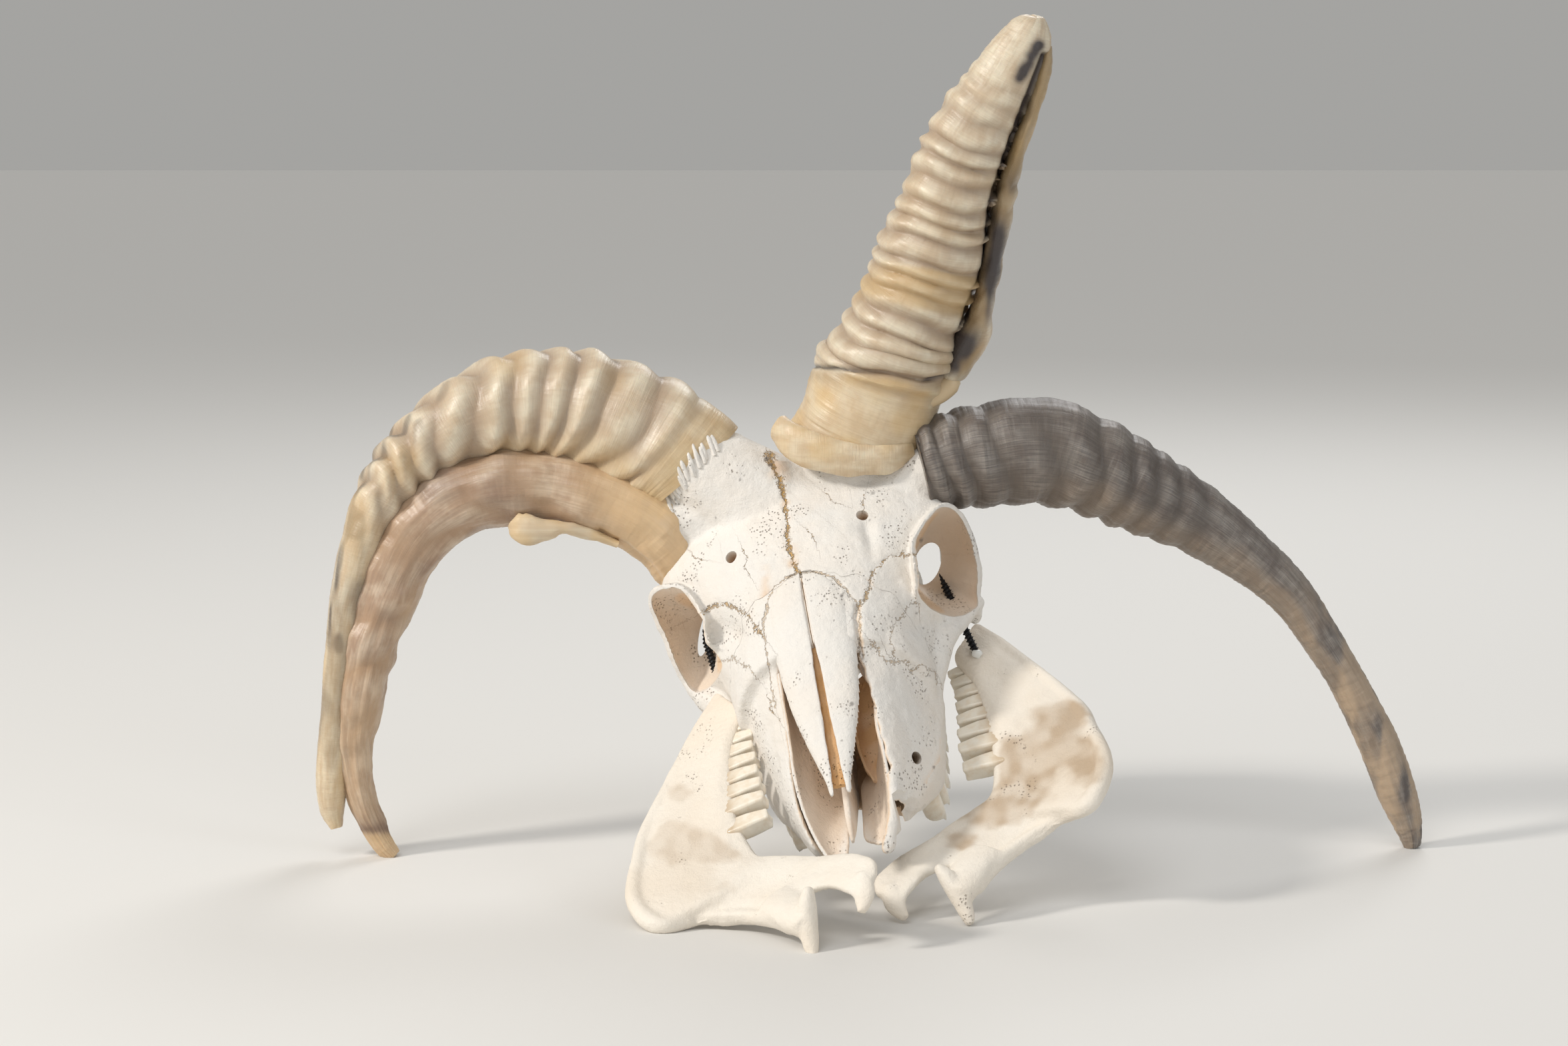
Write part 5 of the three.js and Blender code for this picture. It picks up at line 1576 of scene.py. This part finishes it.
# A splinter of the comb, from its foot to its tip: share of its height, way out, half widths.
COMB_TOOTH = [(0.35, 0.5, 1.15, 1.1), (0.75, 0.9, 0.85, 0.8), (1, 0.6, 0.3, 0.3)]


def bone_comb(skull_bone):
    """Upright splinters of bone between the brow and the left horn's open end."""
    tree = BVHTree.FromObject(skull_bone, bpy.context.evaluated_depsgraph_get())
    teeth = []
    for k, (column, row) in enumerate(spline(COMB, COMB_TEETH)):
        found = shown_place(tree, column + 3 * math.sin(k * 2.3), row + 6)
        if found is None:
            continue
        foot, normal = found
        rise = unit(COMB_RISE - normal * np.dot(COMB_RISE, normal))
        tall = 6.8 + 2.2 * math.sin(k * 1.9)
        stations = [(*(foot - rise * 2 - normal * 0.4), 1.3, 1.0)]
        for share, out, half_wide, half_deep in COMB_TOOTH:
            stations.append((*(foot + rise * tall * share + normal * out), half_wide, half_deep))
        teeth.append(tube("splinter", stations, 14, 10, across=(0, 1, 0.2)))
    comb = joined("bone_comb", teeth)
    roughen(comb, (0.25, 1.8, 4))
    marked(comb, IN_PLACE, {})
    blank(comb, "inner", "stain")
    settle(comb, IN_PLACE, BONE, ["cranium"])


block, uppers = skull()
finish_cranium(block)
for side, upper in uppers.items():
    finish_upper_jaw(upper, side)
bone_comb(block)
nose_lining()
nose_scroll()
nasal_bones()
muzzle_plates()
nose_blade()


# ------------------------------------------------------------------ lower jaws

# Sections of a lower jaw's plate from front to back: top and lower edge, then half thickness.
JAW_PLATE = [
    ((58, 2.6, -2), (80, -1, -13.4), 4.2), ((51.5, 2.6, -2.4), (70, 0, -18.4), 5.2),
    ((39, 1, -7), (53, -0.5, -27), 5.8), ((22, 0.4, -9), (36, 0, -37.4), 6),
    ((-2, -0.6, -9), (9, 1.6, -48.6), 5.6), ((-12, -4.4, -7), (-9, 3.4, -52.6), 4.8),
    ((-22.8, -5.2, -3), (-34, 6.4, -55), 3.4), ((-27, -5.4, 5), (-55, 6, -45), 3.0),
    ((-32, -5.4, 15), (-51, -3, -28.6), 3.0), ((-40, -3, 25), (-54.5, -6, -13), 3.2),
    ((-50, 1.6, 38.8), (-60.4, 0.6, 22), 2.8), ((-61, 4.6, 48), (-71, 3.4, 34.6), 2.4),
    ((-68, 4, 48), (-77, 1, 38.4), 2.0)]
JAW_BORDER = [
    (77, -0.4, -12.6, 4, 4.2), (54, -0.4, -25.4, 4.2, 5.8), (9.6, 1.6, -45.6, 4.4, 6),
    (-9, 3.4, -49.8, 4.4, 5.6), (-35, 6.4, -51.8, 4.6, 5.2), (-53, 5.6, -42.6, 4.8, 4.8),
    (-47.6, -2, -29, 3.4, 4.8), (-52.6, -5.6, -12, 3.4, 4.6), (-62, -4, 0.4, 3.6, 4.6),
    (-73, -2.4, 9.6, 3.6, 4.4)]
JAW_HINGE = [
    (-54, -3, 4, 9, 4.6), (-64, -1, 10, 8.4, 4.8), (-73, -0.6, 14, 6.6, 5.4), (-78, -0.4, 16, 4.4, 5.6)]
JAW_HINGE_HEAD = [(-65.6, 8, 21.6, 1.6, 3), (-70, 4.4, 19, 3.4, 4.6), (-76, -0.6, 16.6, 4, 4.6),
                  (-81.6, -5, 15.4, 3.4, 3.4), (-86.4, -8, 15, 2, 2)]
JAW_HOOK = [(-66, 4.6, 42.6, 3.4, 3), (-74, 2.4, 41.4, 4.4, 2.8), (-80.6, -0.6, 38.6, 2, 2.2)]
# Lower cheek teeth: x of the middle, length, height of the gum, height of the crown.
LOWER_TEETH = [(-6.4, 9, -8.6, 13.2), (2.5, 8.9, -9, 13.4), (11.3, 8.7, -9.3, 13), (19.8, 8.4, -9.4, 12.2),
               (28, 8, -8.8, 11), (35.7, 7.5, -8, 9.6), (42.8, 6.9, -6.2, 8.2), (49.2, 6, -4, 6.4)]
TOOTH_ROOT, TOOTH_WIDTH, TOOTH_EDGE = 5, 7.4, 2.1
# Which way a jaw's outer face looks along its own y, its place, and how strong its stains are; the right
# jaw's are stronger partly as painted shade, since that jaw lies in shadow.
JAWS = {"left": (1, JAW_LEFT, 0.48), "right": (-1, JAW_RIGHT, 0.8)}
# Stains of each jaw: picture place, half width, half height and strength. On the right jaw they are partly
# painted shade.
JAW_STAINS = {
    "left": [
        (1005, 1265, 46, 44, 0.55), (1050, 1262, 50, 42, 0.5), (1095, 1282, 40, 22, 0.45),
        (1020, 1190, 26, 20, 0.6), (1060, 1330, 90, 16, 0.4), (1150, 1345, 60, 10, 0.35)],
    "right": [
        (1592, 1072, 46, 34, 0.7), (1575, 1120, 56, 44, 0.7), (1635, 1150, 34, 46, 0.55),
        (1535, 1180, 48, 40, 0.7), (1485, 1222, 46, 30, 0.7), (1440, 1262, 44, 24, 0.6),
        (1520, 1140, 30, 40, 0.5)]}


def jaw_plate(side):
    rows = spline([[*a, *b, half] for a, b, half in JAW_PLATE], 110)
    rings = []
    for row in rows:
        top, low, half = row[:3], row[3:6], row[6]
        f = np.linspace(0, 1, 16)
        width = half * np.interp(f, [0, 0.15, 0.4, 0.7, 1], [0.6, 0.96, 0.86, 0.84, 0.55])
        line = top + np.outer(f, low - top)
        outer = line + np.outer(width, (0, 1, 0))
        inside = line - np.outer(width, (0, 1, 0))
        rings.append(np.vstack([outer, inside[::-1]]) * [1, side, 1])
    return loft("plate", rings)


def sided(stations, side):
    return [(x, y * side, z, a, b) for x, y, z, a, b in stations]


def thinned(stations):
    return [(x, y, z, a * 0.8, b * 0.78) for x, y, z, a, b in stations]


def tooth_lobe(middle, length, gum, height, side):
    """One column of a lower cheek tooth, worn off flat at the top."""
    centre = side * (middle * 0.3 if middle < 0 else 0.6)
    tall = height + TOOTH_ROOT
    tooth = box("lobe", (0, 0, 0), 1)
    put(tooth, places(tooth) * (length * 0.87, TOOTH_WIDTH, tall)
        + [middle, centre, gum + height - tall / 2])
    take(tooth)
    bpy.ops.object.mode_set(mode="EDIT")
    bpy.ops.mesh.select_all(action="SELECT")
    bpy.ops.mesh.subdivide(number_cuts=5)
    bpy.ops.object.mode_set(mode="OBJECT")
    applied(tooth, "BEVEL", width=TOOTH_EDGE * MM, segments=4, limit_method="ANGLE",
            angle_limit=math.radians(50))
    p = places(tooth)
    across = (p[:, 1] - centre) / 3.6
    share = (p[:, 2] - gum) / height
    narrower = 1 - 0.10 * ramp(share, 0.3, 1.0) + 0.05 * np.sin(share * 3)
    p[:, 1] = centre + (p[:, 1] - centre) * narrower
    p[:, 0] = middle + (p[:, 0] - middle) * (1.02 - 0.3 * ramp(share, 0.05, 1.05))
    p[:, 2] += np.where(share > 0.9, 0.7 * np.abs(across) - 0.5 + 0.25 * grain(p, 1.6, 5), 0)
    put(tooth, p)
    return tooth


def jaw_body(name, side, matrix):
    parts = [jaw_plate(side), tube("border", thinned(sided(JAW_BORDER, side)), 110, 24)]
    for part, stations, count in (("hinge", JAW_HINGE, 30), ("head", JAW_HINGE_HEAD, 30),
                                  ("hook", JAW_HOOK, 24)):
        parts.append(tube(part, sided(stations, side), count, 24))
    body = fused("lower_jaw_" + name, parts, 0.8)
    soften(body, 12)
    p = places(body)
    n = facings(body)
    x, z = p[:, 0], p[:, 2]
    flank = stripe(x + 34, 20) * stripe(z + 24, 17) * (n[:, 1] * side > 0.2)
    ridge = stripe(z + 9.5 + 0.02 * x, 2.2) * (x > -14) * (x < 54)
    lift = 0.3 * grain(p, 12, 61) + 0.1 * grain(p, 4, 62) + 0.04 * grain(p, 1.6, 63) - 0.9 * flank
    lift += 0.35 * ridge * np.sin(x * 1.05) ** 2
    standing = carried(p + n * lift[:, None], matrix)
    standing[:, 2] = np.maximum(standing[:, 2], 0)
    put(body, carried(standing, np.linalg.inv(matrix)))
    return body


def lower_jaw(name):
    side, matrix, strength = JAWS[name]
    body = jaw_body(name, side, matrix)
    p = places(body)
    column, row, facing = seen(body, matrix)
    stain = np.zeros(len(p))
    for *spot, share in JAW_STAINS[name]:
        stain = 1 - (1 - stain) * (1 - share * patch(column, row, *spot))
    patchy = stain + 0.12 * grain(p, 8, 75) + 0.05 * grain(p, 3, 76)
    stain = np.maximum(0.3 * stain, strength * ramp(patchy, 0.3, 0.54))
    stain = stain * (0.6 + 0.5 * ramp(grain(p, 5, 71), -0.7, 0.7)) * (facing > -0.1)
    share_out(body, "stain", stain)
    paint(body, "inner", 0.35 * ramp(grain(p, 30, 73), -0.2, 0.7))
    blank(body, "speck")
    node = "jaw_" + name
    settle(body, matrix, JAW_BONE, [node])
    teeth = joined("lower_teeth_" + name, [tooth_lobe(*row, side) for row in LOWER_TEETH])
    paint(teeth, "stain", 0.6 * ramp(-places(teeth)[:, 2], 6, 11))
    settle(teeth, matrix, ENAMEL, [node])


lower_jaw("left")
lower_jaw("right")


# ------------------------------------------------------------------ screws

THREAD_PITCH, CORE_RADIUS, THREAD_HEIGHT = 1.7, 1.3, 0.7
SCREW_SIDES, SCREW_RINGS = 28, 340


def screw(side):
    """A black screw with a sharp thread, its point up in the eye socket."""
    tip, end = [np.array(p, float) for p in SCREWS[side]]
    step = unit(end - tip)
    across = unit(np.cross(step, (0, 0, 1)))
    other = np.cross(step, across)
    turn = np.arange(SCREW_SIDES) / SCREW_SIDES * 2 * math.pi
    rings = []
    for d in np.linspace(0, np.linalg.norm(end - tip), SCREW_RINGS):
        phase = (d / THREAD_PITCH - turn / (2 * math.pi)) % 1
        thread = np.maximum(0, 1 - np.abs(phase - 0.5) * 4)
        radius = (CORE_RADIUS + THREAD_HEIGHT * thread) * min(1, 0.12 + d / 7)
        rings.append(tip + step * d + np.outer(np.cos(turn) * radius, across)
                     + np.outer(np.sin(turn) * radius, other))
    node = "screw_" + SIDES[side]
    settle(loft(node + "_thread", rings), SKULL, SCREW_STEEL, [node], 30)


def glue_blob(side, share, radii):
    """A dab of glue where a screw goes into the bone."""
    tip, end = [np.array(p, float) for p in SCREWS[side]]
    blob = ball("glue_" + SIDES[side], tip + (end - tip) * share - INWARD * 2, radii, 24)
    roughen(blob, (0.5, 1.6, 3))
    settle(blob, SKULL, GLUE, ["screw_" + SIDES[side]], 80)


for side in SIDES:
    screw(side)
glue_blob(1, 0.93, (2.4, 1.8, 2.0))
glue_blob(-1, 0.97, (1.8, 1.6, 1.6))


# ------------------------------------------------------------------ stage

def stage_floor():
    deselect()
    bpy.ops.mesh.primitive_plane_add(size=60, location=(0, 0, 0))
    floor = bpy.context.object
    floor.name = "floor"
    material, _, surface = new_material("pale floor")
    surface.inputs["Base Color"].default_value = colour(0.74, 0.73, 0.71)
    surface.inputs["Roughness"].default_value = 0.7
    floor.data.materials.append(material)


# Name, place and size in metres, power and tint.
LIGHTS = [("key", (-1.65, -0.8, 1.25), 0.35, 27, (1, 0.95, 0.88)),
          ("fill", (1.5, -1.3, 0.8), 0.9, 5, (0.9, 0.95, 1)),
          ("rim", (0.5, 1.5, 1.6), 1.0, 12, (1, 1, 1))]
LIT_PLACE = Vector((0, 0, 0.16))


def area_light(name, place, size, power, tint):
    data = bpy.data.lights.new(name, "AREA")
    data.shape = "DISK"
    data.size = size
    data.energy = power
    data.color = tint
    light = bpy.data.objects.new(name, data)
    light.location = place
    aim = LIT_PLACE - Vector(place)
    light.rotation_euler = aim.to_track_quat("-Z", "Y").to_euler()
    bpy.context.collection.objects.link(light)


stage_floor()
sun = bpy.data.lights.new("sky", "SUN")
sun.energy = 0.75
sun.angle = math.radians(30)
sky = bpy.data.objects.new("sky", sun)
sky.rotation_euler = (math.radians(35), math.radians(-20), 0)
bpy.context.collection.objects.link(sky)
for light in LIGHTS:
    area_light(*light)
world = bpy.data.worlds.new("room")
world.use_nodes = True
backdrop = world.node_tree.nodes["Background"].inputs
backdrop["Color"].default_value = colour(0.87, 0.86, 0.83)
backdrop["Strength"].default_value = 0.43
bpy.context.scene.world = world
bpy.context.scene.view_settings.view_transform = "Standard"
